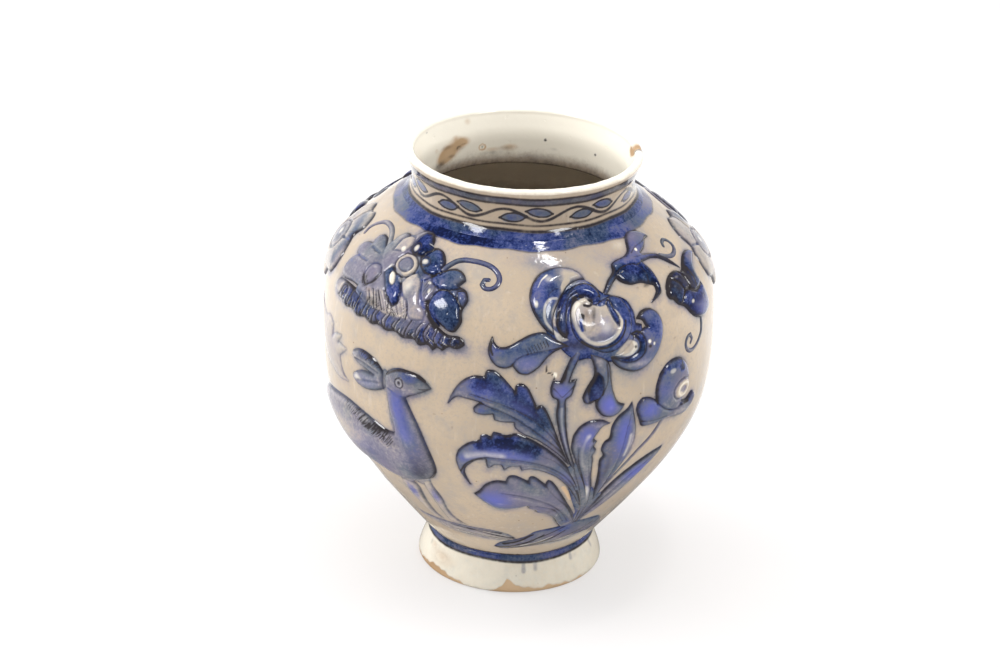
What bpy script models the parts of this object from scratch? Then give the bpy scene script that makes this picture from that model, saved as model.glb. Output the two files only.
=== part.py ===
"""Glazed pottery jar with applied relief: a foot ring, a lower bowl, a shoulder and a lipped neck,
luted together with slip, and a frieze of leaf, flower and gazelle sprigs laid on the wall twice round.

Metres, +Z up, origin on the table at the centre of the foot, front of the jar towards -Y.
"""

import math

import bmesh
import bpy
from mathutils import Vector
from mathutils.geometry import delaunay_2d_cdt, intersect_point_line

# Heights of the stacked pieces, in metres.
FOOT_RISE = 0.020
BELLY_RISE = 0.119
SHOULDER_RISE = 0.0725
NECK_RISE = 0.0235

# Outside radii, from the table up.
FOOT_RADIUS = 0.0495
WAIST_RADIUS = 0.0445
BELLY_RADIUS = 0.1032
SEAT_RADIUS = 0.0610
NECK_RADIUS = 0.0577
LIP_RADIUS = 0.0614

# Walls and edges.
FOOT_WALL = 0.0095
FOOT_EDGE = 0.0022
BODY_WALL = 0.0055
FLOOR = 0.0080
NECK_WALL = 0.0046
NECK_LEDGE = 0.0022
NECK_RIDGE = 0.0032
LIP_FLARE_RISE = 0.0090

# Shape of the wall: how full its lower and upper curves are, and their slopes at foot and neck.
LOWER_FULLNESS = 0.603
BELLY_FULLNESS = 0.301
SHOULDER_FULLNESS = 0.535
LOWER_SLOPE = math.radians(39.5)
SHOULDER_SLOPE = math.radians(50.0)

# Sweep of the foot and of the lip: shares of their rise, each with the share of their flare there.
FOOT_SWEEP = ((0.35, 0.75), (0.75, 0.15))
LIP_SWEEP = ((0.0, 0.10), (0.55, 0.55))
NECK_WAIST = 0.45

# Joints: the slip between luted pieces, the slip under a sprig, and the bevel of a luted edge.
SLIP = 0.0003
SPRIG_SLIP = 0.0004
SCARF = 0.0020

# Facets.
TURN_STEPS = 60
LOWER_STEPS = 9
SHOULDER_STEPS = 7
INSIDE_STEPS = 5
LIP_STEPS = 6
CURVE_SAMPLES = 120
OUTLINE_SAG = 0.0004
FILL_STEP = 0.0082
FILL_MARGIN = 0.0028

# Relief: height of a sprig's edge as a share of its crown, and how far in from the edge it crowns.
EDGE_SHARE = 0.5
CROWN_REACH = 0.0060

# The frieze is one panel, laid on the front and again half a turn round.
PANELS = {"front": 0.0, "back": 180.0}

# Each sprig: the height of its crown, then its outline in degrees round the jar from the front and
# hundredths of the wall's length above the foot. A third value marks a sharp corner.
SPRIGS = {
    "gazelle_body": (0.0028, [
        (-23.9, 61.3, 1), (-26.2, 63), (-28.6, 63.8), (-31.5, 64), (-34.5, 63.9), (-37.2, 63),
        (-39.2, 61.3, 1), (-39, 58.6), (-38.3, 55.2), (-37.4, 51.8), (-36.4, 48.6), (-36.6, 47, 1),
        (-40, 46.9), (-45, 48), (-51, 49.1), (-57, 49.6), (-63, 49.1), (-70, 48), (-77, 46.4),
        (-83, 43.8), (-87.2, 39.6), (-88, 35.6), (-86.4, 32.8), (-81, 31.6), (-74, 31.4), (-66, 32),
        (-57, 32.7), (-49, 32.7), (-42.5, 31.9), (-36, 32.3), (-30.5, 33.9), (-26.6, 35.4), (-24.3, 38),
        (-24.1, 41.2), (-25.3, 45), (-26.9, 48.8), (-28.7, 52.2), (-30.8, 55.2), (-32.3, 57.3, 1),
        (-29.4, 58.7), (-26.6, 59.9)]),
    "gazelle_ears": (0.0022, [
        (-39.9, 60.4, 1), (-40.6, 62), (-43.4, 63.7), (-47, 64.6), (-50.2, 64.5), (-52.8, 63.5),
        (-53.4, 62.3), (-51, 61), (-47, 60.5), (-43.6, 60, 1), (-46.8, 59.9), (-50, 59.2),
        (-52.6, 57.9), (-53, 56.7), (-50.6, 55.6), (-47, 55.5), (-43.2, 56.3), (-39.9, 57.6, 1)]),
    "gazelle_foreleg": (0.0018, [
        (-30.4, 33.2), (-30.5, 30), (-29.9, 26.6), (-29, 22.6), (-28.2, 19), (-26.8, 17, 1),
        (-22, 16.6, 1), (-24.3, 19.2), (-25.7, 21.8), (-26, 24.6), (-25.8, 27), (-26.5, 29.4),
        (-27.5, 32), (-27.9, 34)]),
    "gazelle_rear_foreleg": (0.0018, [
        (-40.6, 31.2), (-41.3, 28.4), (-40.8, 25.2), (-39, 21.6), (-37.2, 18.6), (-36, 16.6, 1),
        (-31.6, 16.2, 1), (-33.6, 18.4), (-34.4, 21.2), (-34.6, 24.4), (-34.3, 27.6), (-34.6, 30.8)]),
    "gazelle_hind_legs": (0.0018, [
        (-84.8, 30.4, 1), (-87.4, 28.2), (-91.4, 25.6), (-92.6, 23), (-90.6, 19.6), (-90, 16.4, 1),
        (-85, 16, 1), (-87, 18.6), (-87.8, 21.6), (-86.4, 23.4), (-82.6, 24.8, 1), (-80, 22.6),
        (-78.6, 19.6), (-77.8, 16.4, 1), (-72.8, 16, 1), (-74.8, 18.8), (-75.4, 22), (-74.8, 26),
        (-75.6, 30.2, 1)]),
    "leaf_upper": (0.0022, [
        (-18.8, 58.6, 1), (-17.4, 61.4), (-15.2, 64.2), (-12, 66), (-8.6, 66.2, 1), (-8, 67.6),
        (-6, 67.8), (-3.4, 66.2), (0.1, 62.9, 1), (0.2, 64.4), (1.6, 65), (3.6, 63.8), (6.1, 59.4, 1),
        (7.2, 59.8), (8.6, 58.8), (10.4, 55.6), (12.2, 51.8), (14.2, 47.8), (16.6, 43.6, 1),
        (13.4, 46.7), (10.2, 49), (6.4, 51.2), (2.6, 52.7), (0.4, 54.2), (0, 55.6, 1), (-3.4, 55.6),
        (-5.4, 55.9), (-5.9, 57.4, 1), (-8.6, 57), (-10.8, 57.3), (-11.2, 58.6), (-9.4, 60, 1),
        (-13, 60.5), (-16.4, 60.6)]),
    "leaf_middle": (0.0022, [
        (-13.1, 36, 1), (-15.6, 39.8), (-16.7, 43.8), (-15.4, 47.2), (-12.6, 49.3), (-9.4, 50.4, 1),
        (-9.2, 51.6), (-7.6, 51.9), (-6.3, 51.4, 1), (-5.6, 52.8), (-3.6, 52.5), (-2, 52.1, 1),
        (0.4, 52.6), (4.6, 51.3), (9, 48.9), (13, 46), (16.4, 42.8), (19.4, 38.8), (22, 34.6),
        (24.4, 30.2), (26.6, 25.4, 1), (23.6, 28.4), (20.4, 32.8), (17, 36.8), (13, 40.1), (9, 42),
        (4.8, 42.8), (2.8, 42.3), (2.2, 43.6, 1), (-0.6, 43.4), (-2.4, 42.3), (-3.3, 43.9, 1),
        (-5.4, 43.6), (-7.2, 42.5), (-7.7, 45.2, 1), (-10.6, 44.6), (-13.4, 42.6), (-14.5, 40.2)]),
    "leaf_lower": (0.0022, [
        (-12.2, 32.6, 1), (-10.2, 34.2), (-8, 36.8), (-5, 38.3), (-1.8, 38.3, 1), (-1, 40.1),
        (1.2, 40.4), (5.1, 38.5, 1), (5.4, 40), (7, 40), (10.6, 37.1, 1), (11.2, 38.8), (13.2, 37.3),
        (16.6, 32.9), (20.4, 28), (24, 23.8), (27.4, 19.2, 1), (22.2, 16.6, 1), (19.4, 19.2),
        (16.8, 22.2), (13.4, 24.4), (9.6, 25.5), (8.6, 26.9, 1), (6.6, 27.5), (5.6, 28.9, 1), (2.6, 28),
        (-2, 27), (-6.2, 27.8), (-9.4, 29.9)]),
    "leaf_inner": (0.0022, [
        (28, 53.6, 1), (25.2, 54.8), (22, 55), (18.8, 53.8), (17, 51.2), (16.9, 48.2), (18.3, 45.2),
        (20, 41), (22.6, 36.4), (25, 31.4), (27, 26.2), (28.6, 19.8, 1), (29.1, 24.6), (28, 30.2),
        (26.6, 34.6), (25, 38.8), (24.1, 43.6), (23.7, 45.5, 1), (24.4, 47), (23.6, 48.1, 1),
        (24.3, 49.3), (23.2, 50.2, 1), (24.4, 51.8), (25.8, 53.2)]),
    "leaf_outer": (0.0022, [
        (34.8, 57.8, 1), (33.4, 56.4), (30.6, 55), (28.8, 52.8), (28.4, 49.6, 1), (27, 48.8),
        (26.3, 46.8), (27.3, 45, 1), (26.5, 43.6), (27.2, 39.8), (28.2, 35.2), (29.2, 30),
        (29.9, 24.6, 1), (30.9, 29.8), (32.2, 35), (34.4, 39.6), (36.4, 43.8), (37.4, 48), (36.9, 51.4),
        (35.7, 54.8)]),
    "leaf_blade": (0.0022, [
        (52.2, 41.3, 1), (47.4, 40.8), (42.8, 39.5), (38.6, 37.3), (35, 34), (32.4, 29.8), (30.7, 25),
        (29.6, 19.2, 1), (33, 21.6), (37.2, 25.4), (41.4, 29.8), (45.6, 34.4), (49.2, 38.2)]),
    "iris_stem": (0.0020, [
        (16.6, 72.6, 1), (14.9, 70), (13.5, 67.4), (12.5, 65.4, 1), (10.4, 65.6, 1), (9.8, 63.6),
        (10.4, 61.8), (11.9, 60.9, 1), (11.8, 57.6), (12.4, 54.4), (13.4, 51.2), (15, 47.4),
        (17.2, 43.4), (20.4, 38.2, 1), (19, 42.2), (17.3, 45.4), (15.9, 49), (14.9, 52.8), (14.3, 56.8),
        (14.2, 60.9, 1), (15.7, 61.9), (16.4, 63.6), (17, 65.6, 1), (15, 65.4, 1), (15.9, 67.6),
        (17.2, 69.9), (18.6, 72, 1)]),
    "bloom_left_curl": (0.0030, [
        (10.9, 75.7, 1), (8.2, 77.3), (5.8, 79.7), (4.1, 82.4), (3.6, 85.2), (4.6, 87.9), (7, 90.2),
        (10.4, 91.4), (14.6, 91.8), (18.8, 91.3), (21.8, 90), (23.2, 88.3, 1), (20, 88), (16.6, 86.9),
        (13.8, 84.6), (11.6, 81.8), (10.4, 79)]),
    "bloom_centre_curl": (0.0030, [
        (14.6, 74.8, 1), (12.2, 76.2), (11.2, 78.8), (12.3, 81.4), (14.5, 84.1), (17.2, 86.2),
        (20.4, 87.3), (23.6, 87.2), (26, 85.9), (27, 83.7, 1), (23.8, 82.7), (20.8, 83.4), (18.6, 84.6),
        (16.2, 83.5), (14.8, 80.8), (14.5, 77.6)]),
    "bloom_cup": (0.0030, [
        (18.6, 73.5), (16.4, 75.2), (15.2, 77.8), (15.5, 80.8), (16.8, 83), (18.5, 83.9), (20.4, 82.8),
        (23.6, 82), (27.2, 83, 1), (30.6, 83.4), (33.4, 82.3), (35, 79.9), (35.2, 77.1), (34.2, 74.5),
        (31.8, 72.4), (28.2, 71), (25, 71), (21.4, 72.3)]),
    "fall_left": (0.0024, [
        (-7.1, 75.4, 1), (-7.9, 73.2), (-7.4, 70.8), (-5.4, 69), (-3, 68.6), (-1, 69.2, 1), (0.8, 67.6),
        (3.4, 67.4), (6.2, 69), (9, 71.6), (12, 73), (16, 73.3, 1), (13, 74.6), (10.2, 75.6),
        (7.6, 76.7), (4, 76.3), (0.8, 75), (-2.4, 73.5), (-4.8, 73.2), (-6.3, 74)]),
    "fall_right": (0.0026, [
        (26.4, 70.3, 1), (29, 67.7), (32, 66.1), (35.4, 65.3), (39, 65.8), (42.4, 67.6), (45, 70.6),
        (46.1, 74.2), (45, 77), (42.4, 78.5), (39.4, 78.5), (37, 77.2, 1), (38.8, 76.6),
        (39.9, 74.9, 1), (37.2, 74.3), (35, 73.9), (33, 72.2), (30, 70.6)]),
    "fall_lower": (0.0026, [
        (20.4, 71.6, 1), (22, 69), (22.3, 66.2), (20.6, 63.8), (19.2, 61.4), (19.8, 59.8), (21.4, 59.4),
        (22.9, 60, 1), (23.4, 58), (25.4, 56), (28.2, 55.3), (30.4, 56), (32.2, 57.7, 1), (29.8, 58.8),
        (28.2, 61.6), (27.4, 65.2), (26.8, 68.2), (25.2, 69.9, 1), (23, 70.8)]),
    "bud_spray": (0.0024, [
        (28, 84, 1), (31.6, 87), (35, 88.8), (36.2, 90.6), (39.6, 91.3), (43.4, 91.6), (46.4, 92.6),
        (49.4, 95.2), (52.6, 96.5), (56.4, 96.4), (60, 95.4), (62.4, 93.6, 1), (59.4, 93.4),
        (55.6, 91.9), (51.4, 90.9), (54, 90.2), (58, 89.4), (61.6, 87.2), (64.6, 83.4, 1), (61.6, 85.6),
        (58.4, 87.9), (54.6, 88.9), (49.4, 89, 1), (51, 86.4), (51, 83.6), (49.4, 80.8),
        (44.2, 79.5, 1), (47.6, 81.2), (48.2, 83), (46.6, 83.6), (43.6, 84.6), (39.4, 84.9), (36.4, 86),
        (35.2, 87.2), (32, 85.6), (28.8, 83.6, 1)]),
    "hanging_bud": (0.0030, [
        (51.6, 80), (53.2, 81.8), (56.6, 83.3), (60.6, 83.6), (63.8, 82.6, 1), (67.2, 83.9), (72, 85.1),
        (76.4, 84.8), (79, 83.4, 1), (74.4, 82.6), (70.4, 80.4), (71.2, 76.6), (72, 73.4), (70.8, 71.2),
        (67.2, 70.6), (63.4, 71.4), (60.2, 73.1), (57.4, 75.6, 1), (54.6, 76.9), (53.4, 78.2, 1),
        (51.9, 78.8)]),
    "side_bud": (0.0030, [
        (36.7, 55.1), (37, 57), (38.8, 58), (41.6, 57.4), (43.8, 56.2, 1), (43.5, 59.4), (44.6, 62.3),
        (47.4, 64.4), (51, 64.9), (54.4, 63.9), (57.2, 61.4), (58.2, 58.2), (57, 55), (54.8, 53.2, 1),
        (58.6, 52.4), (61.4, 53.5), (63.4, 52.6), (62, 50.4), (58, 48.9), (53, 49.6), (49, 50.3),
        (44, 50.2), (39.6, 50.6), (38.3, 52.1)]),
    "lotus_crown": (0.0026, [
        (-39.6, 91, 1), (-37.8, 92.5), (-35, 93.4), (-31.6, 92.9), (-28.9, 91), (-28.3, 89.2),
        (-30.2, 87.6), (-33.6, 87.2), (-37.6, 87.6, 1), (-38, 89.6), (-40.4, 91.2), (-44, 91.9),
        (-47.8, 91.2), (-50.2, 89.4, 1), (-53, 88.7), (-55.8, 89.6), (-55.6, 92), (-53, 93.9),
        (-50.2, 93.8), (-48.6, 93, 1), (-47.6, 95), (-45, 96.4), (-41.6, 96.5), (-38.8, 95.4),
        (-37.6, 93.4)]),
    "lotus_eye": (0.0030, [
        (-44.3, 91.1), (-41, 90.3), (-38.9, 88.4), (-38.9, 86.6), (-41, 84.8), (-44.3, 84),
        (-47.6, 84.8), (-49.7, 86.6), (-49.7, 88.4), (-47.6, 90.3)]),
    "lotus_left_wing": (0.0022, [
        (-50.6, 86, 1), (-53.4, 87.6), (-57, 89, 1), (-59.4, 90.3), (-62.6, 90.6), (-65, 89.4),
        (-64.2, 87.4, 1), (-67, 87), (-69.2, 85.4), (-68, 83.7), (-66.6, 83.2, 1), (-68.3, 81.2),
        (-67.9, 78.4), (-65.4, 77.3), (-60, 77.9), (-54, 77.6), (-48.6, 77.2), (-46.6, 79.4),
        (-48.6, 83.8)]),
    "lotus_right_wing": (0.0030, [
        (-38.4, 85.6, 1), (-34, 86.4), (-29.6, 86.9), (-27.2, 88.6), (-24, 89.6), (-20.6, 89),
        (-18.6, 87.2), (-20.4, 85.6, 1), (-17.6, 84.9), (-16.1, 82.6), (-17.2, 80, 1), (-16.6, 77.8),
        (-18, 75.6), (-20.2, 75.4), (-23.6, 76.8), (-27.6, 77.8), (-32, 76.8), (-37, 77), (-39, 79.4),
        (-41, 83.2)]),
    "lotus_frill": (0.0022, [
        (-67.4, 76.4), (-62, 77.1), (-55, 76.9), (-48, 76.4), (-40, 76), (-33, 75.9), (-28, 76.9),
        (-23.8, 75.8), (-20, 74.4), (-16.6, 74.4), (-14.9, 72.9), (-17.4, 71.7), (-19.4, 71.9, 1),
        (-21.2, 70.8), (-22.9, 71.3, 1), (-24.2, 70.4), (-25.9, 71.4, 1), (-28.6, 70.8),
        (-30.4, 71.8, 1), (-34.2, 71.4), (-37, 72.2, 1), (-40.4, 71.7), (-43.4, 72.3, 1), (-46.4, 71.7),
        (-49.4, 72.4, 1), (-53, 71.8), (-56.2, 72.6, 1), (-60, 72.1), (-63.4, 73, 1), (-66.4, 73),
        (-68.4, 74.4)]),
    "peony_bloom": (0.0030, [
        (-83, 91.4), (-79.4, 90.2), (-77.6, 87.6), (-78.6, 84.8), (-76.6, 83, 1), (-74.6, 80.4),
        (-74.6, 77.2), (-77.4, 74.6), (-81.4, 74, 1), (-84.4, 71.6), (-89, 70.8), (-93.4, 72.2),
        (-95.4, 74.6, 1), (-99.2, 76.2), (-101.2, 79.4), (-100.2, 82.6), (-98.2, 84.2, 1),
        (-98.6, 87.4), (-96, 90.4), (-91.8, 91.6), (-87.2, 90.6, 1)]),
}


def glaze(name, colour, roughness):
    """A glazed clay material."""
    material = bpy.data.materials.new(name)
    material.use_nodes = True
    shader = material.node_tree.nodes["Principled BSDF"]
    shader.inputs["Base Color"].default_value = (*colour, 1.0)
    shader.inputs["Roughness"].default_value = roughness
    shader.inputs["Metallic"].default_value = 0.0
    return material


def add_piece(name, bm, material):
    """Turn a closed bmesh into a named, smooth-shaded object."""
    bmesh.ops.triangulate(bm, faces=bm.faces[:])
    bmesh.ops.recalc_face_normals(bm, faces=bm.faces[:])
    mesh = bpy.data.meshes.new(name)
    bm.to_mesh(mesh)
    bm.free()
    mesh.materials.append(material)
    mesh.shade_smooth()
    piece = bpy.data.objects.new(name, mesh)
    bpy.context.scene.collection.objects.link(piece)
    return piece


def revolve(name, profile, material):
    """Spin a closed profile of (radius, level) points once round the jar's axis."""
    bm = bmesh.new()
    corners = [bm.verts.new((radius, 0.0, level)) for radius, level in profile]
    edges = [bm.edges.new((a, b)) for a, b in zip(corners, corners[1:] + corners[:1])]
    bmesh.ops.spin(bm, geom=corners + edges, cent=(0, 0, 0), axis=(0, 0, 1), dvec=(0, 0, 0),
                   angle=math.tau, steps=TURN_STEPS, use_merge=True)
    bmesh.ops.remove_doubles(bm, verts=bm.verts[:], dist=1e-6)
    bmesh.ops.dissolve_degenerate(bm, edges=bm.edges[:], dist=1e-7)
    return add_piece(name, bm, material)


def bezier(handles, share):
    """The point at a share of the way along a cubic curve."""
    start, leave, arrive, end = handles
    rest = 1.0 - share
    return (start * rest ** 3 + leave * (3 * share * rest ** 2)
            + arrive * (3 * share ** 2 * rest) + end * share ** 3)


def wall_handles():
    """Handles of the wall's two curves: foot to belly, and belly to the seat of the neck."""
    waist = Vector((WAIST_RADIUS, FOOT_RISE))
    belly = Vector((BELLY_RADIUS, FOOT_RISE + BELLY_RISE))
    seat = Vector((SEAT_RADIUS, FOOT_RISE + BELLY_RISE + SHOULDER_RISE))
    lower = (belly - waist).length
    upper = (seat - belly).length
    flare = Vector((math.sin(LOWER_SLOPE), math.cos(LOWER_SLOPE)))
    fall = Vector((math.sin(SHOULDER_SLOPE), -math.cos(SHOULDER_SLOPE)))
    up = Vector((0.0, 1.0))
    swell = belly - up * (lower * BELLY_FULLNESS)
    full = upper * SHOULDER_FULLNESS
    return ((waist, waist + flare * (lower * LOWER_FULLNESS), swell, belly),
            (belly, belly + up * full, seat + fall * full, seat))


class Wall:
    """The outside of the wall, measured along its length from the foot to the seat of the neck."""

    def __init__(self):
        lower, upper = wall_handles()
        shares = [step / CURVE_SAMPLES for step in range(CURVE_SAMPLES + 1)]
        self.points = [bezier(lower, share) for share in shares]
        self.points += [bezier(upper, share) for share in shares[1:]]
        self.lengths = [0.0]
        for before, after in zip(self.points, self.points[1:]):
            self.lengths.append(self.lengths[-1] + (after - before).length)
        self.length = self.lengths[-1]
        self.belly = self.lengths[CURVE_SAMPLES]

    def at(self, length):
        """The (radius, level) point at a length up the wall, and the outward direction there."""
        index = 1
        while index < len(self.points) - 1 and self.lengths[index] < length:
            index += 1
        before, after = self.points[index - 1], self.points[index]
        along = (after - before).normalized()
        point = before + along * (length - self.lengths[index - 1])
        return point, Vector((along.y, -along.x))

    def run(self, start, end, steps, inset=0.0):
        """Points from one length to another, set in from the outside."""
        places = [start + (end - start) * step / steps for step in range(steps + 1)]
        return [point - out * inset for point, out in map(self.at, places)]

    def place(self, turn, rise, lift):
        """The world point at degrees round, hundredths up and a lift off the wall."""
        point, out = self.at(rise / 100.0 * self.length)
        radius, level = point + out * lift
        angle = math.radians(turn)
        return Vector((radius * math.sin(angle), -radius * math.cos(angle), level))


def foot_profile():
    """A flared ring, hollow underneath, whose top is dished to take the bowl."""
    inside = FOOT_RADIUS - FOOT_WALL
    throat = WAIST_RADIUS - FOOT_WALL
    flare = FOOT_RADIUS - WAIST_RADIUS
    sweep = [(WAIST_RADIUS + out * flare, up * FOOT_RISE) for up, out in FOOT_SWEEP]
    return ([(FOOT_RADIUS - FOOT_EDGE, 0.0), (FOOT_RADIUS, FOOT_EDGE)] + sweep
            + [(WAIST_RADIUS, FOOT_RISE - SLIP), (throat, FOOT_RISE - SCARF - SLIP),
               (inside, FOOT_EDGE), (inside + FOOT_EDGE, 0.0)])


def bowl_profile(wall):
    """The thrown lower half: a floor let into the foot, and a wall up to the belly joint."""
    throat = WAIST_RADIUS - FOOT_WALL
    underside = FOOT_RISE - SCARF
    floor = underside + FLOOR
    outside = wall.run(0.0, wall.belly, LOWER_STEPS)
    inside = wall.run(0.0, wall.belly - SCARF, INSIDE_STEPS, BODY_WALL)
    inside = [point for point in inside if point.y > floor]
    corner = inside[0].x - (inside[0].y - floor) * math.tan(LOWER_SLOPE)
    return ([(0.0, underside), (throat, underside)] + [tuple(point) for point in outside]
            + [tuple(point) for point in reversed(inside)] + [(corner, floor), (0.0, floor)])


def shoulder_profile(wall):
    """The upper half, from the belly joint to a bevelled seat and an inner ridge under the neck."""
    outside = wall.run(wall.belly + SLIP, wall.length, SHOULDER_STEPS)
    inside = wall.run(wall.belly - SCARF + SLIP, wall.length - BODY_WALL, INSIDE_STEPS, BODY_WALL)
    root = SEAT_RADIUS - NECK_LEDGE - NECK_WALL
    seat = outside[-1].y - SCARF
    return ([tuple(point) for point in outside] + [(root, seat), (root, seat - NECK_RIDGE)]
            + [tuple(point) for point in reversed(inside)])


def neck_profile(wall):
    """A short waisted neck with a rounded, flaring lip, bedded on the shoulder's bevelled edge."""
    seat = wall.at(wall.length)[0].y
    base = SEAT_RADIUS - NECK_LEDGE
    root = base - NECK_WALL
    slope = SCARF / (SEAT_RADIUS - root)
    bed = seat + SLIP - NECK_LEDGE * slope
    rim = NECK_WALL / 2.0
    top = seat + NECK_RISE
    flare = top - rim - LIP_FLARE_RISE
    spread = LIP_RADIUS - NECK_RADIUS
    sweep = [(NECK_RADIUS + out * spread, flare + up * LIP_FLARE_RISE) for up, out in LIP_SWEEP]
    outside = [(base, bed), (NECK_RADIUS, seat + NECK_WAIST * (flare - seat))] + sweep
    turns = [math.pi * step / LIP_STEPS for step in range(LIP_STEPS + 1)]
    lip = [(LIP_RADIUS - rim + rim * math.cos(turn), top - rim + rim * math.sin(turn)) for turn in turns]
    inside = [(radius - NECK_WALL, level) for radius, level in reversed(outside[1:])]
    return outside + lip + inside + [(root, bed - NECK_WALL * slope)]


def outline_points(wall, corners):
    """A closed outline through the corners, smooth but for the sharp ones, with a point wherever it bends."""
    count = len(corners)
    points = [Vector(corner[:2]) for corner in corners]
    sharp = [len(corner) > 2 for corner in corners]
    middle = sum(point.y for point in points) / count
    per_degree = wall.at(middle / 100.0 * wall.length)[0].x * math.radians(1.0)
    scale = Vector((per_degree, wall.length / 100.0))
    outline = []
    for index in range(count):
        here, there = points[index], points[(index + 1) % count]
        before = here * 2 - there if sharp[index] else points[index - 1]
        after = there * 2 - here if sharp[(index + 1) % count] else points[(index + 2) % count]
        handles = (here, here + (there - before) / 6, there - (after - here) / 6, there)
        bow = (bezier(handles, 0.5) - (here + there) / 2) * scale
        span = (there - here) * scale
        pieces = max(math.ceil(math.sqrt(bow.length / OUTLINE_SAG)), math.ceil(span.length / FILL_STEP), 1)
        outline += [bezier(handles, piece / pieces) * scale for piece in range(pieces)]
    return outline, scale


def edge_distance(point, outline):
    """How far a point lies from a closed outline, and whether it is inside."""
    nearest = math.inf
    inside = False
    for a, b in zip(outline, outline[1:] + outline[:1]):
        foot, share = intersect_point_line(point, a, b)
        foot = a if share < 0 else b if share > 1 else foot
        nearest = min(nearest, (point - foot.xy).length)
        if (a.y > point.y) != (b.y > point.y) and point.x < a.x + (b.x - a.x) * (point.y - a.y) / (b.y - a.y):
            inside = not inside
    return nearest, inside


def fill_points(outline):
    """A staggered grid of points well inside an outline, so that a sprig can bend with the wall."""
    low = Vector((min(point.x for point in outline), min(point.y for point in outline)))
    high = Vector((max(point.x for point in outline), max(point.y for point in outline)))
    row_step = FILL_STEP * math.sqrt(0.75)
    found = []
    for row in range(int((high.y - low.y) / row_step) + 1):
        shift = FILL_STEP / 2 if row % 2 else 0.0
        for column in range(int((high.x - low.x) / FILL_STEP) + 1):
            point = low + Vector((column * FILL_STEP + shift, row * row_step))
            distance, inside = edge_distance(point, outline)
            if inside and distance > FILL_MARGIN:
                found.append(point)
    return found


def sprig(name, wall, turn, crown, corners, material):
    """A crowned slab cut to an outline on the flat, then wrapped round the wall on its bed of slip."""
    outline, scale = outline_points(wall, corners)
    ring = list(range(len(outline)))
    flat = delaunay_2d_cdt(outline + fill_points(outline), [], [ring], 1, 1e-6)
    bm = bmesh.new()
    bottom = [bm.verts.new((point.x, point.y, SPRIG_SLIP)) for point in flat[0]]
    for face in flat[2]:
        bm.faces.new([bottom[corner] for corner in face])
    raised = bmesh.ops.extrude_face_region(bm, geom=bm.faces[:])["geom"]
    for vert in [item for item in raised if isinstance(item, bmesh.types.BMVert)]:
        share = min(edge_distance(vert.co.xy, outline)[0] / CROWN_REACH, 1.0)
        share = EDGE_SHARE + (1.0 - EDGE_SHARE) * math.sin(share * math.pi / 2)
        vert.co.z = SPRIG_SLIP + crown * share
    for vert in bm.verts:
        vert.co = wall.place(turn + vert.co.x / scale.x, vert.co.y / scale.y, vert.co.z)
    return add_piece(name, bm, material)


def build():
    """Clear the scene, then make the four luted pieces and the frieze."""
    for item in list(bpy.data.objects):
        bpy.data.objects.remove(item, do_unlink=True)
    ground = glaze("ground_glaze", (0.60, 0.53, 0.43), 0.25)
    pale = glaze("pale_glaze", (0.80, 0.78, 0.71), 0.25)
    cobalt = glaze("cobalt_glaze", (0.075, 0.09, 0.28), 0.2)
    wall = Wall()
    revolve("foot_ring", foot_profile(), pale)
    revolve("lower_bowl", bowl_profile(wall), ground)
    revolve("shoulder_shell", shoulder_profile(wall), ground)
    revolve("neck_collar", neck_profile(wall), pale)
    for panel, turn in PANELS.items():
        for name, (crown, corners) in SPRIGS.items():
            sprig(f"{panel}_{name}", wall, turn, crown, corners, cobalt)


build()
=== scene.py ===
# %% [markdown]
# # A glazed jar with a relief frieze
#
# The real object is a thrown stoneware jar: a round body on a flared foot, a short lipped neck, and a
# frieze of sprigs (a gazelle, an iris, buds, a lotus) that were pressed in moulds, stuck on with slip and
# painted with cobalt under a clear glaze. The CAD frame holds the plain solids. This script dresses every
# one of them: it reads where each solid is, lays a finer surface in the same place and paints it.

# %% Frame
import math

import bpy
import numpy as np
from mathutils import Matrix


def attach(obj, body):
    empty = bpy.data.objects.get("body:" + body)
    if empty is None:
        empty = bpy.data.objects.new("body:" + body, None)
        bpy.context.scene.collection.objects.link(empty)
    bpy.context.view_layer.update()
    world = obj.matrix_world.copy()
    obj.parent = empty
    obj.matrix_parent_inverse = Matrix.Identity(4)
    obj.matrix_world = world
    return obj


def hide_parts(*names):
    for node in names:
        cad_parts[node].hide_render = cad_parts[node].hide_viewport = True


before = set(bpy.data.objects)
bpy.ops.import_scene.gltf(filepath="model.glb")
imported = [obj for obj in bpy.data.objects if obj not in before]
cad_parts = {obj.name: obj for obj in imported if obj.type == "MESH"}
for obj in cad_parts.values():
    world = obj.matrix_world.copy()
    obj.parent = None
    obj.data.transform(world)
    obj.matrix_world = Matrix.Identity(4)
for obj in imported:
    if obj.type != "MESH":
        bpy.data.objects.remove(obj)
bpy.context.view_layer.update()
MM = 0.001

# %% [markdown]
# ## Camera
#
# The photograph was taken from a good distance with a long lens, looking down a little, with a slight lean
# to one side. Those few numbers were fitted once to the rim, the belly and the foot, so the camera goes
# first and every later piece can be compared with the photograph at the same pixel.

# %% Camera
CAMERA_PLACE = (0.0, -1.40425, 0.77098)
CAMERA_PITCH = math.radians(24.555)
CAMERA_YAW = math.radians(-0.375)
CAMERA_ROLL = math.radians(2.0)
LENS = 105.0
SENSOR = 36.0


def camera_turn(pitch, yaw, roll):
    """The camera's axes as columns: the view direction from pitch and yaw, then both leant by the roll."""
    ahead = np.array((math.sin(yaw) * math.cos(pitch), math.cos(yaw) * math.cos(pitch), -math.sin(pitch)))
    level = np.array((math.cos(yaw), -math.sin(yaw), 0.0))
    over = np.cross(level, ahead)
    right = math.cos(roll) * level + math.sin(roll) * over
    above = -math.sin(roll) * level + math.cos(roll) * over
    return np.stack((right, above, -ahead), axis=1)


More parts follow.
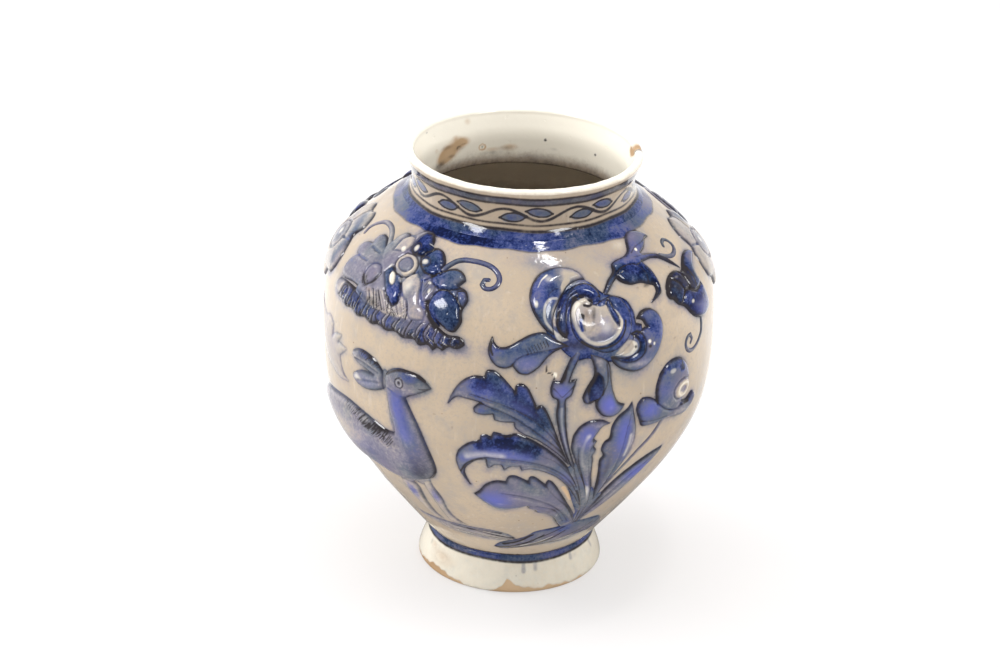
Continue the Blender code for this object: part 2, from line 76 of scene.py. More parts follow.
lens = bpy.data.cameras.new("camera")
lens.lens = LENS
lens.sensor_width = SENSOR
camera = bpy.data.objects.new("camera", lens)
bpy.context.scene.collection.objects.link(camera)
camera.matrix_world = Matrix.Translation(CAMERA_PLACE) @ Matrix(camera_turn(
    CAMERA_PITCH, CAMERA_YAW, CAMERA_ROLL).tolist()).to_4x4()
bpy.context.scene.camera = camera
print("camera", CAMERA_PLACE, "lens", LENS)

# %% [markdown]
# ## The wall of the jar
#
# Everything on the body is placed by two numbers: degrees round from the front (turn) and hundredths of the
# wall's length above the foot (rise). The wall is the same pair of cubic curves that the solids were turned
# from. Besides the radius and level at each rise, a second height called climb is kept: the length divided
# by the radius, summed up the wall. On a chart of angle against climb, small shapes keep their proportions,
# so distances on the round wall can be measured as on flat paper and multiplied by the radius.

# %% Wall
FOOT_RISE = 0.020
BELLY_LEVEL = 0.139
SEAT_LEVEL = 0.2115
WAIST_RADIUS = 0.0445
BELLY_RADIUS = 0.1032
SEAT_RADIUS = 0.0610
BODY_WALL = 0.0055
LOWER_FULLNESS = 0.603
BELLY_FULLNESS = 0.301
SHOULDER_FULLNESS = 0.535
LOWER_SLOPE = math.radians(39.5)
SHOULDER_SLOPE = math.radians(50.0)
LEAN_START = 93.3
CURVE_SAMPLES = 1200


def cubic(start, leave, arrive, end, share):
    """A cubic curve: four handles weighted by the powers of the share and of what is left of it."""
    rest = 1.0 - share
    return (start * rest ** 3 + leave * 3 * share * rest ** 2
            + arrive * 3 * share ** 2 * rest + end * share ** 3)


def wall_curve():
    """The outside of the wall as (radius, level) points: foot to belly, then belly to the neck's seat."""
    waist = np.array((WAIST_RADIUS, FOOT_RISE))
    belly = np.array((BELLY_RADIUS, BELLY_LEVEL))
    seat = np.array((SEAT_RADIUS, SEAT_LEVEL))
    lower = np.linalg.norm(belly - waist)
    upper = np.linalg.norm(seat - belly) * SHOULDER_FULLNESS
    flare = np.array((math.sin(LOWER_SLOPE), math.cos(LOWER_SLOPE)))
    fall = np.array((math.sin(SHOULDER_SLOPE), -math.cos(SHOULDER_SLOPE)))
    up = np.array((0.0, 1.0))
    share = np.linspace(0.0, 1.0, CURVE_SAMPLES)[:, None]
    bowl = cubic(waist, waist + flare * lower * LOWER_FULLNESS,
                 belly - up * lower * BELLY_FULLNESS, belly, share)
    shoulder = cubic(belly, belly + up * upper, seat + fall * upper, seat, share)
    return np.concatenate((bowl, shoulder[1:]))


wall_points = wall_curve()
wall_steps = np.hypot(*np.diff(wall_points, axis=0).T)
wall_length = np.concatenate(([0.0], np.cumsum(wall_steps)))
wall_rise = 100.0 * wall_length / wall_length[-1]
wall_along = np.gradient(wall_points, wall_length, axis=0)
wall_along /= np.linalg.norm(wall_along, axis=1, keepdims=True)
wall_out = np.stack((wall_along[:, 1], -wall_along[:, 0]), axis=1)
middle_radius = (wall_points[1:, 0] + wall_points[:-1, 0]) / 2
wall_climb = np.concatenate(([0.0], np.cumsum(wall_steps / middle_radius)))
BELLY_AT = wall_rise[CURVE_SAMPLES - 1]


def wall_at(rise):
    """Radius and level at a rise, and the radial and upward parts of the outward direction there."""
    return (np.interp(rise, wall_rise, wall_points[:, 0]), np.interp(rise, wall_rise, wall_points[:, 1]),
            np.interp(rise, wall_rise, wall_out[:, 0]), np.interp(rise, wall_rise, wall_out[:, 1]))


def throwing_waves(turn, rise):
    """The slow unevenness of a hand-thrown wall, in metres: long waves, and a lean inwards below the band."""
    angle = np.radians(turn)
    slow = 0.16 * np.sin(3 * angle + 0.05 * rise + 0.6) + 0.11 * np.sin(7 * angle - 0.16 * rise)
    finger_rings = 0.05 * np.sin(0.45 * rise + 2 * np.sin(2 * angle))
    lean = 0.085 * np.logaddexp(0.0, 2.0 * (rise - LEAN_START))
    return MM * (slow + finger_rings - lean)


def at_turn(radius, turn, level):
    """Points, or directions, at a radius from the axis, a turn in degrees and a level."""
    angle = np.radians(turn)
    return np.stack((radius * np.sin(angle), -radius * np.cos(angle), level), axis=-1)


def wall_place(turn, rise, lift):
    """World points at a turn, a rise and a lift off the wall in metres."""
    radius, level, out, up = wall_at(rise)
    return at_turn(radius + out * lift, turn, level + up * lift)


def wall_facing(turn, rise):
    """The way the uneven wall faces: straight out, leant back by how fast the waves grow up and round."""
    radius, _, out, up = wall_at(rise)
    angle = np.radians(turn)
    up_step, round_step = 0.1, 0.2
    growth = (throwing_waves(turn, rise + up_step) - throwing_waves(turn, rise - up_step)) / (
        2 * up_step * wall_length[-1] / 100.0)
    swing = (throwing_waves(turn + round_step, rise) - throwing_waves(turn - round_step, rise)) / (
        2 * math.radians(round_step) * radius)
    ahead, climb = out + up * growth, up - out * growth
    facing = np.stack((ahead * np.sin(angle) - swing * np.cos(angle),
                       -ahead * np.cos(angle) - swing * np.sin(angle), climb), axis=-1)
    return facing / np.linalg.norm(facing, axis=-1, keepdims=True)


def wall_chart(turn, rise):
    """Chart of the wall: angle against climb, and the mm that one chart unit measures there."""
    return np.radians(turn), np.interp(rise, wall_rise, wall_climb), np.interp(
        rise, wall_rise, wall_points[:, 0]) / MM


print(f"wall {wall_length[-1] / MM:.1f} mm long, belly at {BELLY_AT:.1f} hundredths,",
      f"widest {2 * wall_points[:, 0].max() / MM:.1f} mm across")

# %% [markdown]
# ## Lines, outlines and distances
#
# A sprig's outline is not drawn again here: it is read from the CAD solid. The underside of a sprig lies
# close to the wall, so its triangles are easy to pick out, and the edges that only one of them uses run
# round the rim. The rim's corners are then joined by smooth arcs that stay sharp where the outline turns
# hard, such as a leaf's tip. The distance from any point to such a line is what shapes the relief and
# places the paint.

# %% Lines
SHARP_TURN = math.radians(58.0)
UNDERSIDE_LIFT = 0.9 * MM
SAME_PLACE = 0.01 * MM
ARC_PIECES = 5
NO_LENGTH = 1e-12
NO_AREA = 1e-18


def smooth_line(points, closed):
    """Arcs through points: each is left along the line between its neighbours, unless it is sharp."""
    points = np.asarray(points, float)
    before = np.roll(points, 1, axis=0)
    after = np.roll(points, -1, axis=0)
    leaving = after - points
    arriving_way, leaving_way = (step[:, 0] + 1j * step[:, 1] for step in (points - before, leaving))
    turning = np.abs(np.angle(leaving_way * np.conj(arriving_way)))
    through = after - before
    through /= np.linalg.norm(through, axis=1, keepdims=True) + NO_LENGTH
    sharp = turning > SHARP_TURN
    if not closed:
        sharp[[0, -1]] = True
    span = np.linalg.norm(leaving, axis=1, keepdims=True)
    start_pull = np.where(sharp[:, None], leaving, through * span)
    end_pull = np.where(np.roll(sharp, -1)[:, None], leaving, np.roll(through, -1, axis=0) * span)
    share = (np.arange(ARC_PIECES) / ARC_PIECES)[None, :, None]
    here, there = points[:, None], after[:, None]
    line = cubic(here, here + start_pull[:, None] / 3, there - end_pull[:, None] / 3, there, share)
    if closed:
        return line.reshape(-1, 2)
    return np.concatenate((line[:-1].reshape(-1, 2), points[-1:]))


def line_distance(x, y, line, closed=False):
    """Distance to a line of straight steps, the share of it before the nearest place, and what is inside."""
    start = line if closed else line[:-1]
    step = (np.roll(line, -1, axis=0) if closed else line[1:]) - start
    nearest = np.full(x.shape, np.inf)
    share = np.zeros(x.shape)
    inside = np.zeros(x.shape, bool)
    for index, ((from_x, from_y), (step_x, step_y)) in enumerate(zip(start, step)):
        along = ((x - from_x) * step_x + (y - from_y) * step_y) / (step_x ** 2 + step_y ** 2 + NO_AREA)
        along = np.clip(along, 0.0, 1.0)
        gap = np.hypot(x - from_x - along * step_x, y - from_y - along * step_y)
        share = np.where(gap < nearest, (index + along) / len(start), share)
        nearest = np.minimum(nearest, gap)
        if closed and step_y != 0.0:
            crosses = (from_y > y) != (from_y + step_y > y)
            inside ^= crosses & (x < from_x + step_x * (y - from_y) / step_y)
    return nearest, share, inside


def outline_depth(x, y, scale, outline):
    """Depth in mm inside a closed outline, negative outside it."""
    gap, _, inside = line_distance(x, y, outline, closed=True)
    return np.where(inside, gap, -gap) * scale


def chart_line(chart, points, closed):
    """Arcs on a chart through places given by turn and height, and the chart's least scale along them."""
    x, y, scale = chart(*np.array(points, float).T)
    return smooth_line(np.stack((x, y), axis=1), closed), scale.min()


def places_along(line, share):
    """Places at shares of a line of points, counted by its points."""
    knots = np.linspace(0.0, 1.0, len(line))
    return np.stack([np.interp(share, knots, axis) for axis in np.array(line, float).T], axis=1)


def even_line(line, count):
    """The same line with so many points, spaced evenly by length."""
    length = np.concatenate(([0.0], np.cumsum(np.hypot(*np.diff(line, axis=0).T))))
    even = np.linspace(0.0, length[-1], count)
    return np.stack([np.interp(even, length, axis) for axis in line.T], axis=1)


def node_points(name):
    """A CAD node's corner points and its triangles, with corners in the same place counted once."""
    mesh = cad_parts[name].data
    points = np.empty(len(mesh.vertices) * 3)
    mesh.vertices.foreach_get("co", points)
    corners = np.empty(len(mesh.loops), np.int32)
    mesh.loops.foreach_get("vertex_index", corners)
    points = points.reshape(-1, 3)
    _, first, same = np.unique(np.round(points / SAME_PLACE).astype(int), axis=0,
                               return_index=True, return_inverse=True)
    return points[first], same.reshape(-1)[corners].reshape(-1, 3)


def sprig_outline(name):
    """The rim of a sprig's underside on the wall's chart, with arcs between its corners."""
    points, triangles = node_points(name)
    radius = np.hypot(points[:, 0], points[:, 1])
    away = np.stack((radius, points[:, 2]), axis=1)[:, None] - wall_points[None]
    nearest = np.argmin((away ** 2).sum(axis=2), axis=1)
    lift = (away[np.arange(len(points)), nearest] * wall_out[nearest]).sum(axis=1)
    under = triangles[(lift[triangles] < UNDERSIDE_LIFT).all(axis=1)]
    edges = np.concatenate((under[:, [0, 1]], under[:, [1, 2]], under[:, [2, 0]]))
    count = len(points)
    rim = edges[~np.isin(edges[:, 0] * count + edges[:, 1], edges[:, 1] * count + edges[:, 0])]
    following = dict(rim.tolist())
    loop = [rim[0, 0]]
    while following[loop[-1]] != loop[0]:
        loop.append(following[loop[-1]])
    turn = np.arctan2(points[loop, 0], -points[loop, 1])
    return smooth_line(np.stack((turn, wall_climb[nearest[loop]]), axis=1), closed=True)


SPRIG_NAMES = sorted(name[len("front_"):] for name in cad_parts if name.startswith("front_"))
outlines = {name: sprig_outline("front_" + name) for name in SPRIG_NAMES}
print(len(outlines), "sprig outlines of", sum(map(len, outlines.values())), "points")

# %% [markdown]
# ## The painter's canvas
#
# A painter loads the brush with cobalt, lays washes and dabs, draws dark lines and leaves or scrapes white.
# The canvas below does the same on arrays of points: every touch adds to one of six layers. Four become a
# colour attribute on the mesh (blue, dark, white, bare clay), vivid says where the cobalt runs clear and
# bright, and lift raises or sinks the clay in mm, so a drawn line can also be a groove.

# %% Canvas
LAYERS = ("blue", "dark", "white", "bare", "vivid", "lift")
DAB_STEEPNESS = 0.8
STROKE_STEEPNESS = 0.7
STROKE_MARGIN = 1.6
FADED = 3.0
HATCH_SWAY = 0.30
HATCH_TAPER = 0.4
HATCH_BOW = 0.6
HATCH_SHORTEST = 0.75
HATCH_LONGER = 0.35
HATCH_FAINTEST = 0.55
HATCH_STRONGER = 0.7
PETAL_SOFT = 0.4
PETAL_REACH = 2.0
PETAL_POOLED = 0.3
PETAL_POOL_REACH = 1.2
PETAL_LINE_HALF = 0.55
PETAL_DOME_REACH = 1.6
PETAL_GROOVE = 0.6
PETAL_GROOVE_HALF = 0.7


def ramp(value, start, length):
    """0 up to the start, 1 from a length further on, and straight between."""
    return np.clip((value - start) / length, 0.0, 1.0)


def bell(value, middle, half):
    """1 at the middle, falling as a bell curve of the distance in half sizes."""
    return np.exp(-((value - middle) / half) ** 2)


class Canvas:
    """Layers of paint on points given by turn and height, measured on a chart of their surface."""

    def __init__(self, turn, rise, chart):
        self.turn, self.rise, self.chart = turn, rise, chart
        self.x, self.y, self.scale = chart(turn, rise)
        self.layers = {kind: np.zeros(turn.shape) for kind in LAYERS}

    def near(self, line, reach):
        """Which points lie in the box round a line, widened by a reach in chart units."""
        low, high = line.min(axis=0) - reach, line.max(axis=0) + reach
        return (self.x > low[0]) & (self.x < high[0]) & (self.y > low[1]) & (self.y < high[1])

    def oval(self, turn, rise, half_turn, half_rise):
        """The square of the distance from an oval's middle, in half sizes."""
        return ((self.turn - turn) / half_turn) ** 2 + ((self.rise - rise) / half_rise) ** 2

    def wash(self, kind, turn, rise, half_turn, half_rise, amount):
        """A soft oval: amount times the bell curve of the distance from its middle in half sizes."""
        self.layers[kind] += amount * np.exp(-self.oval(turn, rise, half_turn, half_rise))

    def dab(self, kind, turn, rise, half_turn, half_rise, amount):
        """A firm oval: as a wash, but flat in the middle and steep at the edge."""
        reach = np.minimum(self.oval(turn, rise, half_turn, half_rise), FADED ** 2)
        self.layers[kind] += amount * np.exp(-DAB_STEEPNESS * reach ** 2)

    def stroke(self, kind, width, amount, points, taper=0.0, edge=4):
        """A brush line of a width in mm along arcs through the points, thinner at the end by the taper."""
        line, scale = chart_line(self.chart, points, closed=False)
        near = self.near(line, STROKE_MARGIN * width / scale)
        if not near.any():
            return
        gap, share, _ = line_distance(self.x[near], self.y[near], line)
        half = 0.5 * width * (1.0 - taper * share)
        reach = np.minimum(gap * self.scale[near] / half, FADED)
        self.layers[kind][near] += amount * np.exp(-STROKE_STEEPNESS * reach ** edge)

    def crease(self, width, amount, groove, depth, points):
        """A dark line in a groove: the line's width and strength, then the groove's width and depth in mm."""
        self.stroke("dark", width, amount, points)
        self.stroke("lift", groove, depth, points)

    def pool(self, kind, width, amount, points):
        """A soft run of colour along a line, without an edge."""
        self.stroke(kind, width, amount, points, 0.0, 2)

    def ring(self, kind, width, amount, turn, rise, half_turn, half_rise):
        """A closed brush line round an oval."""
        angle = np.linspace(0.0, math.tau, 13)
        points = np.stack((turn + half_turn * np.cos(angle), rise + half_rise * np.sin(angle)), axis=1)
        self.stroke(kind, width, amount, points)

    def hatch(self, kind, width, amount, count, tops, feet, bend=0.0):
        """Short strokes side by side, from places spread along one line to the same shares of another."""
        share = (np.arange(count) + 0.5) / count
        chance = np.random.default_rng(count)
        sway = chance.normal(0.0, HATCH_SWAY, (count, 2))
        for top, foot, shift in zip(places_along(tops, share), places_along(feet, share), sway):
            foot = top + (foot - top) * (HATCH_SHORTEST + HATCH_LONGER * chance.random())
            middle = (top + foot) / 2 + (bend, 0.0) + shift * HATCH_BOW
            strength = amount * (HATCH_FAINTEST + HATCH_STRONGER * chance.random())
            self.stroke(kind, width, strength, [top + shift, middle, foot], HATCH_TAPER)

    def depth_in(self, points, reach):
        """Which points lie near a closed shape of arcs through places, and their depth inside it in mm."""
        outline, scale = chart_line(self.chart, points, closed=True)
        near = self.near(outline, reach / scale)
        return near, outline_depth(self.x[near], self.y[near], self.scale[near], outline)

    def fill(self, kind, amount, points, soft=0.8):
        """Change a layer to an amount inside a closed shape, with an edge that is soft over so many mm."""
        near, depth = self.depth_in(points, soft)
        layer = self.layers[kind]
        layer[near] += ramp(depth, -soft, 2.0 * soft) * (amount - layer[near])

    def petal(self, blue, white, bulge, line, points):
        """A closed shape filled with blue and white, domed by a bulge in mm and set in a dark groove."""
        for kind, amount in (("blue", blue), ("white", white), ("dark", 0.0)):
            self.fill(kind, amount, points, PETAL_SOFT)
        near, depth = self.depth_in(points, PETAL_REACH)
        within, inside = depth > 0.0, np.maximum(depth, 0.0)
        self.layers["blue"][near] += within * PETAL_POOLED * blue * np.exp(-inside / PETAL_POOL_REACH)
        self.layers["dark"][near] += line * bell(depth, 0.0, PETAL_LINE_HALF)
        dome = within * bulge * (1.0 - np.exp(-inside / PETAL_DOME_REACH))
        self.layers["lift"][near] += dome - PETAL_GROOVE * bell(depth, 0.0, PETAL_GROOVE_HALF)

    def apply(self, marks):
        """Carry out groups of touches: a layer and a touch by name, then what each touch takes."""
        for brush, *touches in marks:
            *layer, touch = brush.split()
            for how in touches:
                getattr(self, touch)(*layer, *how)

    def colours(self):
        """The paint as one row of blue, dark, white and bare per point, each held between 0 and 1."""
        return np.stack([np.clip(self.layers[kind], 0.0, 1.0) for kind in LAYERS[:4]], axis=-1)


print("canvas layers:", ", ".join(LAYERS))

# %% [markdown]
# ## From arrays to meshes
#
# Blender takes whole arrays through foreach_set. The paint travels with the points as a colour attribute
# named paint, which the glaze material reads. Each piece stays at the origin with its place in its mesh,
# rides on the one CAD body, and hides the CAD node that it stands for, where there is one.

# %% Meshes
made = []


def add_piece(name, points, faces, paint, material, replaced=(), normals=None, vivid=None):
    """A smooth mesh object from arrays of points, quads and paint."""
    mesh = bpy.data.meshes.new(name)
    mesh.vertices.add(len(points))
    mesh.vertices.foreach_set("co", np.ascontiguousarray(points, np.float32).ravel())
    mesh.loops.add(faces.size)
    mesh.loops.foreach_set("vertex_index", faces.astype(np.int32).ravel())
    mesh.polygons.add(len(faces))
    mesh.polygons.foreach_set("loop_start", np.arange(0, faces.size, 4, dtype=np.int32))
    mesh.update(calc_edges=True)
    layer = mesh.attributes.new("paint", "FLOAT_COLOR", "POINT")
    layer.data.foreach_set("color", np.ascontiguousarray(paint, np.float32).ravel())
    if vivid is not None:
        brightness = mesh.attributes.new("vivid", "FLOAT", "POINT")
        brightness.data.foreach_set("value", np.ascontiguousarray(vivid, np.float32))
    mesh.materials.append(material)
    mesh.shade_smooth()
    if normals is not None:
        mesh.normals_split_custom_set_from_vertices(np.ascontiguousarray(normals, np.float32))
    piece = bpy.data.objects.new(name, mesh)
    bpy.context.scene.collection.objects.link(piece)
    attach(piece, "root")
    if replaced:
        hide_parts(*replaced)
    made.append((name, 2 * len(faces)))


def turned_faces(rows, columns):
    """Quads between neighbouring rings of a turned shape, and from its last ring back to its first."""
    ring = np.arange(rows * columns).reshape(rows, columns)
    upper = np.roll(ring, -1, axis=0)
    corners = (ring, np.roll(ring, -1, axis=1), np.roll(upper, -1, axis=1), upper)
    return np.stack(corners, axis=-1).reshape(-1, 4)


def turned_grid(profile, columns, start=-180.0):
    """Turn, radius and level on a grid that has a ring for each (radius, level) point of a profile."""
    turn, radius = np.meshgrid(np.linspace(start, start + 360.0, columns, endpoint=False), profile[:, 0])
    return turn, radius, np.repeat(profile[:, 1:2], columns, axis=1)


def ring_chart(radius):
    """A chart for a short ring: angle against level over one radius, with the same scale all over."""
    scale = radius / MM

    def chart(turn, level):
        """Angle, level over the radius, and the mm that one chart unit measures."""
        return np.radians(turn), level / scale, np.full(np.shape(turn), scale)

    return chart


print("mesh helpers ready")

# %% [markdown]
# ## The glaze
#
# One recipe serves the whole jar. The ground is a warm grey-beige that shows through a clear glaze, mottled
# and specked with iron. Cobalt goes from a thin slate wash through violet blue to navy as it thickens,
# which a colour ramp gives. White slip, dark line work and bare clay are laid over it by the paint
# attribute; the white also lays painted highlights and glints on some sprigs, and the dark also lays
# painted shade. Noise breaks up the paint's edges as a glaze does when it runs. Shader maths is written
# with a small class whose operators add the nodes.

# %% Glaze
class Wire:
    """A shader socket that can be used in sums: each operator adds a Math node."""

    def __init__(self, tree, socket):
        self.tree, self.socket = tree, socket

    def node(self, kind, settings, inputs, output=0):
        """Add a node: first its settings, then values or links for its sockets. Gives the chosen output."""
        made_node = self.tree.nodes.new(kind)
        for name, value in settings.items():
            if name == "stops":
                stops = made_node.color_ramp.elements
                for index, (place, colour) in enumerate(value):
                    stop = stops[index] if index < 2 else stops.new(place)
                    stop.position, stop.color = place, (*colour, 1.0)
            else:
                setattr(made_node, name, value)
        for name, value in inputs.items():
            if isinstance(value, Wire):
                self.tree.links.new(value.socket, made_node.inputs[name])
            else:
                made_node.inputs[name].default_value = value
        return Wire(self.tree, made_node.outputs[output])

    def sum(self, operation, first, second):
        """A Math node with an operation on two wires or values."""
        return self.node("ShaderNodeMath", {"operation": operation}, {0: first, 1: second})

    def __add__(self, other):
        return self.sum("ADD", self, other)

    def __mul__(self, other):
        return self.sum("MULTIPLY", self, other)

    def __sub__(self, other):
        return self.sum("SUBTRACT", self, other)

    def __rsub__(self, other):
        return self.sum("SUBTRACT", other, self)

    __radd__ = __add__
    __rmul__ = __mul__

    def between(self, low, high):
        """0 below low, 1 above high, and a smooth step between."""
        return self.node("ShaderNodeMapRange", {"interpolation_type": "SMOOTHSTEP"},
                         {"Value": self, "From Min": low, "From Max": high})

    def over(self, under, colour):
        """A colour laid over another, as thick as this value."""
        return self.node("ShaderNodeMix", {"data_type": "RGBA"}, {0: self, 6: under, 7: colour}, 2)

    def noise(self, scale, detail=2.0, rough=0.5):
        """Cloudy noise at a scale in spots per metre, on this wire's coordinates."""
        return self.node("ShaderNodeTexNoise", {}, {"Vector": self, "Scale": scale, "Detail": detail,
                                                    "Roughness": rough})


COBALT_STOPS = ((0.0, (0.40, 0.36, 0.35)), (0.22, (0.27, 0.25, 0.28)), (0.38, (0.135, 0.134, 0.175)),
                (0.52, (0.105, 0.122, 0.235)), (0.64, (0.066, 0.087, 0.240)), (0.76, (0.032, 0.050, 0.170)),
                (0.88, (0.011, 0.021, 0.095)), (1.0, (0.005, 0.009, 0.040)))
SLATE_STOPS = ((0.0, (0.40, 0.37, 0.35)), (0.22, (0.25, 0.25, 0.26)), (0.42, (0.120, 0.138, 0.170)),
               (0.60, (0.068, 0.096, 0.150)), (0.78, (0.026, 0.046, 0.095)), (1.0, (0.005, 0.010, 0.030)))
VIVID_COLOUR = (0.127, 0.140, 0.450, 1.0)
VIOLET_COLOUR = (0.175, 0.150, 0.235, 1.0)
LINE_AND_SHADE_COLOUR = (0.036, 0.031, 0.034, 1.0)
SLIP_AND_HIGHLIGHT_COLOUR = (0.87, 0.81, 0.69, 1.0)
CLAY_COLOUR = (0.40, 0.245, 0.125, 1.0)
CLAY_PALE = (0.62, 0.44, 0.27, 1.0)
SPECK_COLOUR = (0.16, 0.09, 0.05, 1.0)
NECK_SLIP = (0.89, 0.84, 0.73, 1.0)
NOISES = {"drift": (16.0, 3.0, 0.5), "clouds": (75.0, 4.0, 0.6), "blots": (190.0, 3.0, 0.6),
          "mottle": (400.0, 3.0, 0.65), "grain": (640.0, 4.0, 0.75)}
STREAK_STRETCH = (330.0, 330.0, 60.0)
SPECKS = 170.0
GLAZE_IOR = 1.5
GLAZE_SPECULAR = 0.40
BUMP_STRENGTH = 0.34
BUMP_DEPTH = 0.0004


def painted_glaze(name, ground, shade, stain, paler, slip=SLIP_AND_HIGHLIGHT_COLOUR):
    """Glaze over a ground that drifts between four colours, with the paint attribute laid over it."""
    material = bpy.data.materials.new(name)
    material.use_nodes = True
    tree = material.node_tree
    shader = tree.nodes["Principled BSDF"]
    wire = Wire(tree, None)
    place = wire.node("ShaderNodeTexCoord", {}, {}, "Object")
    paint = wire.node("ShaderNodeAttribute", {"attribute_name": "paint"}, {}, "Color")
    bare = Wire(tree, paint.socket.node.outputs["Alpha"])
    layers = paint.node("ShaderNodeSeparateColor", {}, {0: paint}).socket.node.outputs
    blue, dark, white = (Wire(tree, socket) for socket in layers)
    drift, clouds, blots, mottle, grain = (place.noise(*noise) for noise in NOISES.values())
    stretched = place.node("ShaderNodeVectorMath", {"operation": "MULTIPLY"}, {0: place, 1: STREAK_STRETCH})
    base = drift.between(0.40, 0.64).over((*ground, 1.0), (*shade, 1.0))
    base = ((clouds - 0.47) * 3.4).between(0.0, 1.0).over(base, (*stain, 1.0))
    base = (mottle.between(0.50, 0.70) * 0.55).over(base, (*shade, 1.0))
    base = (grain.between(0.48, 0.72) * 0.8).over(base, (*stain, 1.0))
    base = (stretched.noise(1.0, 3.0, 0.6).between(0.56, 0.78) * 0.40).over(base, (*paler, 1.0))
    cells = place.node("ShaderNodeTexVoronoi", {}, {"Vector": place, "Scale": SPECKS, "Randomness": 1.0})
    chosen = Wire(tree, cells.socket.node.outputs["Color"])
    picked = chosen.node("ShaderNodeSeparateColor", {}, {0: chosen}).between(0.66, 0.74)
    specks = (1 - cells.between(0.03, 0.10)) * picked * 0.75
    base = specks.over(base, SPECK_COLOUR)
    clay = drift.between(0.35, 0.65).over(CLAY_COLOUR, CLAY_PALE)
    uneven = 1.0 + 0.65 * (clouds - 0.5) + 0.5 * (blots - 0.5) + 0.65 * (mottle - 0.5) + 1.1 * (grain - 0.5)
    wash = blue * uneven
    cobalt = wash.node("ShaderNodeValToRGB", {"stops": COBALT_STOPS}, {0: wash})
    slate = wash.node("ShaderNodeValToRGB", {"stops": SLATE_STOPS}, {0: wash})
    cobalt = (place.noise(52.0, 2.0).between(0.42, 0.60) * 0.85).over(cobalt, slate)
    violet = place.noise(42.0, 2.0).between(0.48, 0.70) * (1 - wash.between(0.50, 0.75)) * 0.5
    cobalt = violet.over(cobalt, VIOLET_COLOUR)
    vivid = wire.node("ShaderNodeAttribute", {"attribute_name": "vivid"}, {}, "Fac")
    cobalt = (vivid * (0.5 + clouds)).over(cobalt, VIVID_COLOUR)
    colour = wash.between(0.02, 0.30).over(base, cobalt)
    # The white layer lays slip, and on some sprigs painted highlights and glints, in the slip colour.
    colour = (white * (0.45 + 0.6 * blots + 0.5 * grain)).between(0.15, 0.80).over(colour, slip)
    colour = (bare + (clouds - 0.5) * 1.4 * bare).between(0.15, 0.85).over(colour, clay)
    # The dark layer lays line work, and also painted shade inside relief edges, at their feet and deep in the
    # neck.
    colour = (dark * (0.25 + 0.8 * clouds + 0.7 * mottle)).between(0.08, 0.95).over(colour, LINE_AND_SHADE_COLOUR)
    rough = 0.035 + 0.04 * clouds + 0.5 * bare
    pits = 1 - place.noise(240.0, 2.0).between(0.20, 0.34)
    relief = grain * 0.12 + place.noise(140.0, 2.0) * 0.8 - pits * 0.8
    bump = relief.node("ShaderNodeBump", {}, {
        "Strength": BUMP_STRENGTH, "Distance": BUMP_DEPTH, "Height": relief})
    for socket, value in (("Base Color", colour), ("Roughness", rough), ("Normal", bump)):
        tree.links.new(value.socket, shader.inputs[socket])
    shader.inputs["IOR"].default_value = GLAZE_IOR
    shader.inputs["Specular IOR Level"].default_value = GLAZE_SPECULAR
    return material


body_glaze = painted_glaze("body_glaze", (0.515, 0.412, 0.305), (0.450, 0.365, 0.277),
                           (0.400, 0.352, 0.305), (0.610, 0.520, 0.425))
sprig_glaze = painted_glaze("sprig_glaze", (0.540, 0.450, 0.350), (0.460, 0.390, 0.310),
                            (0.400, 0.355, 0.320), (0.620, 0.550, 0.480))
neck_glaze = painted_glaze("neck_glaze", (0.490, 0.395, 0.295), (0.425, 0.340, 0.256),
                           (0.400, 0.330, 0.270), (0.640, 0.550, 0.440), NECK_SLIP)
pale_glaze = painted_glaze("pale_glaze", (0.740, 0.690, 0.590), (0.680, 0.610, 0.490),
                           (0.560, 0.560, 0.510), (0.800, 0.780, 0.710))
print("glazes:", ", ".join(glaze.name for glaze in (body_glaze, sprig_glaze, neck_glaze, pale_glaze)))
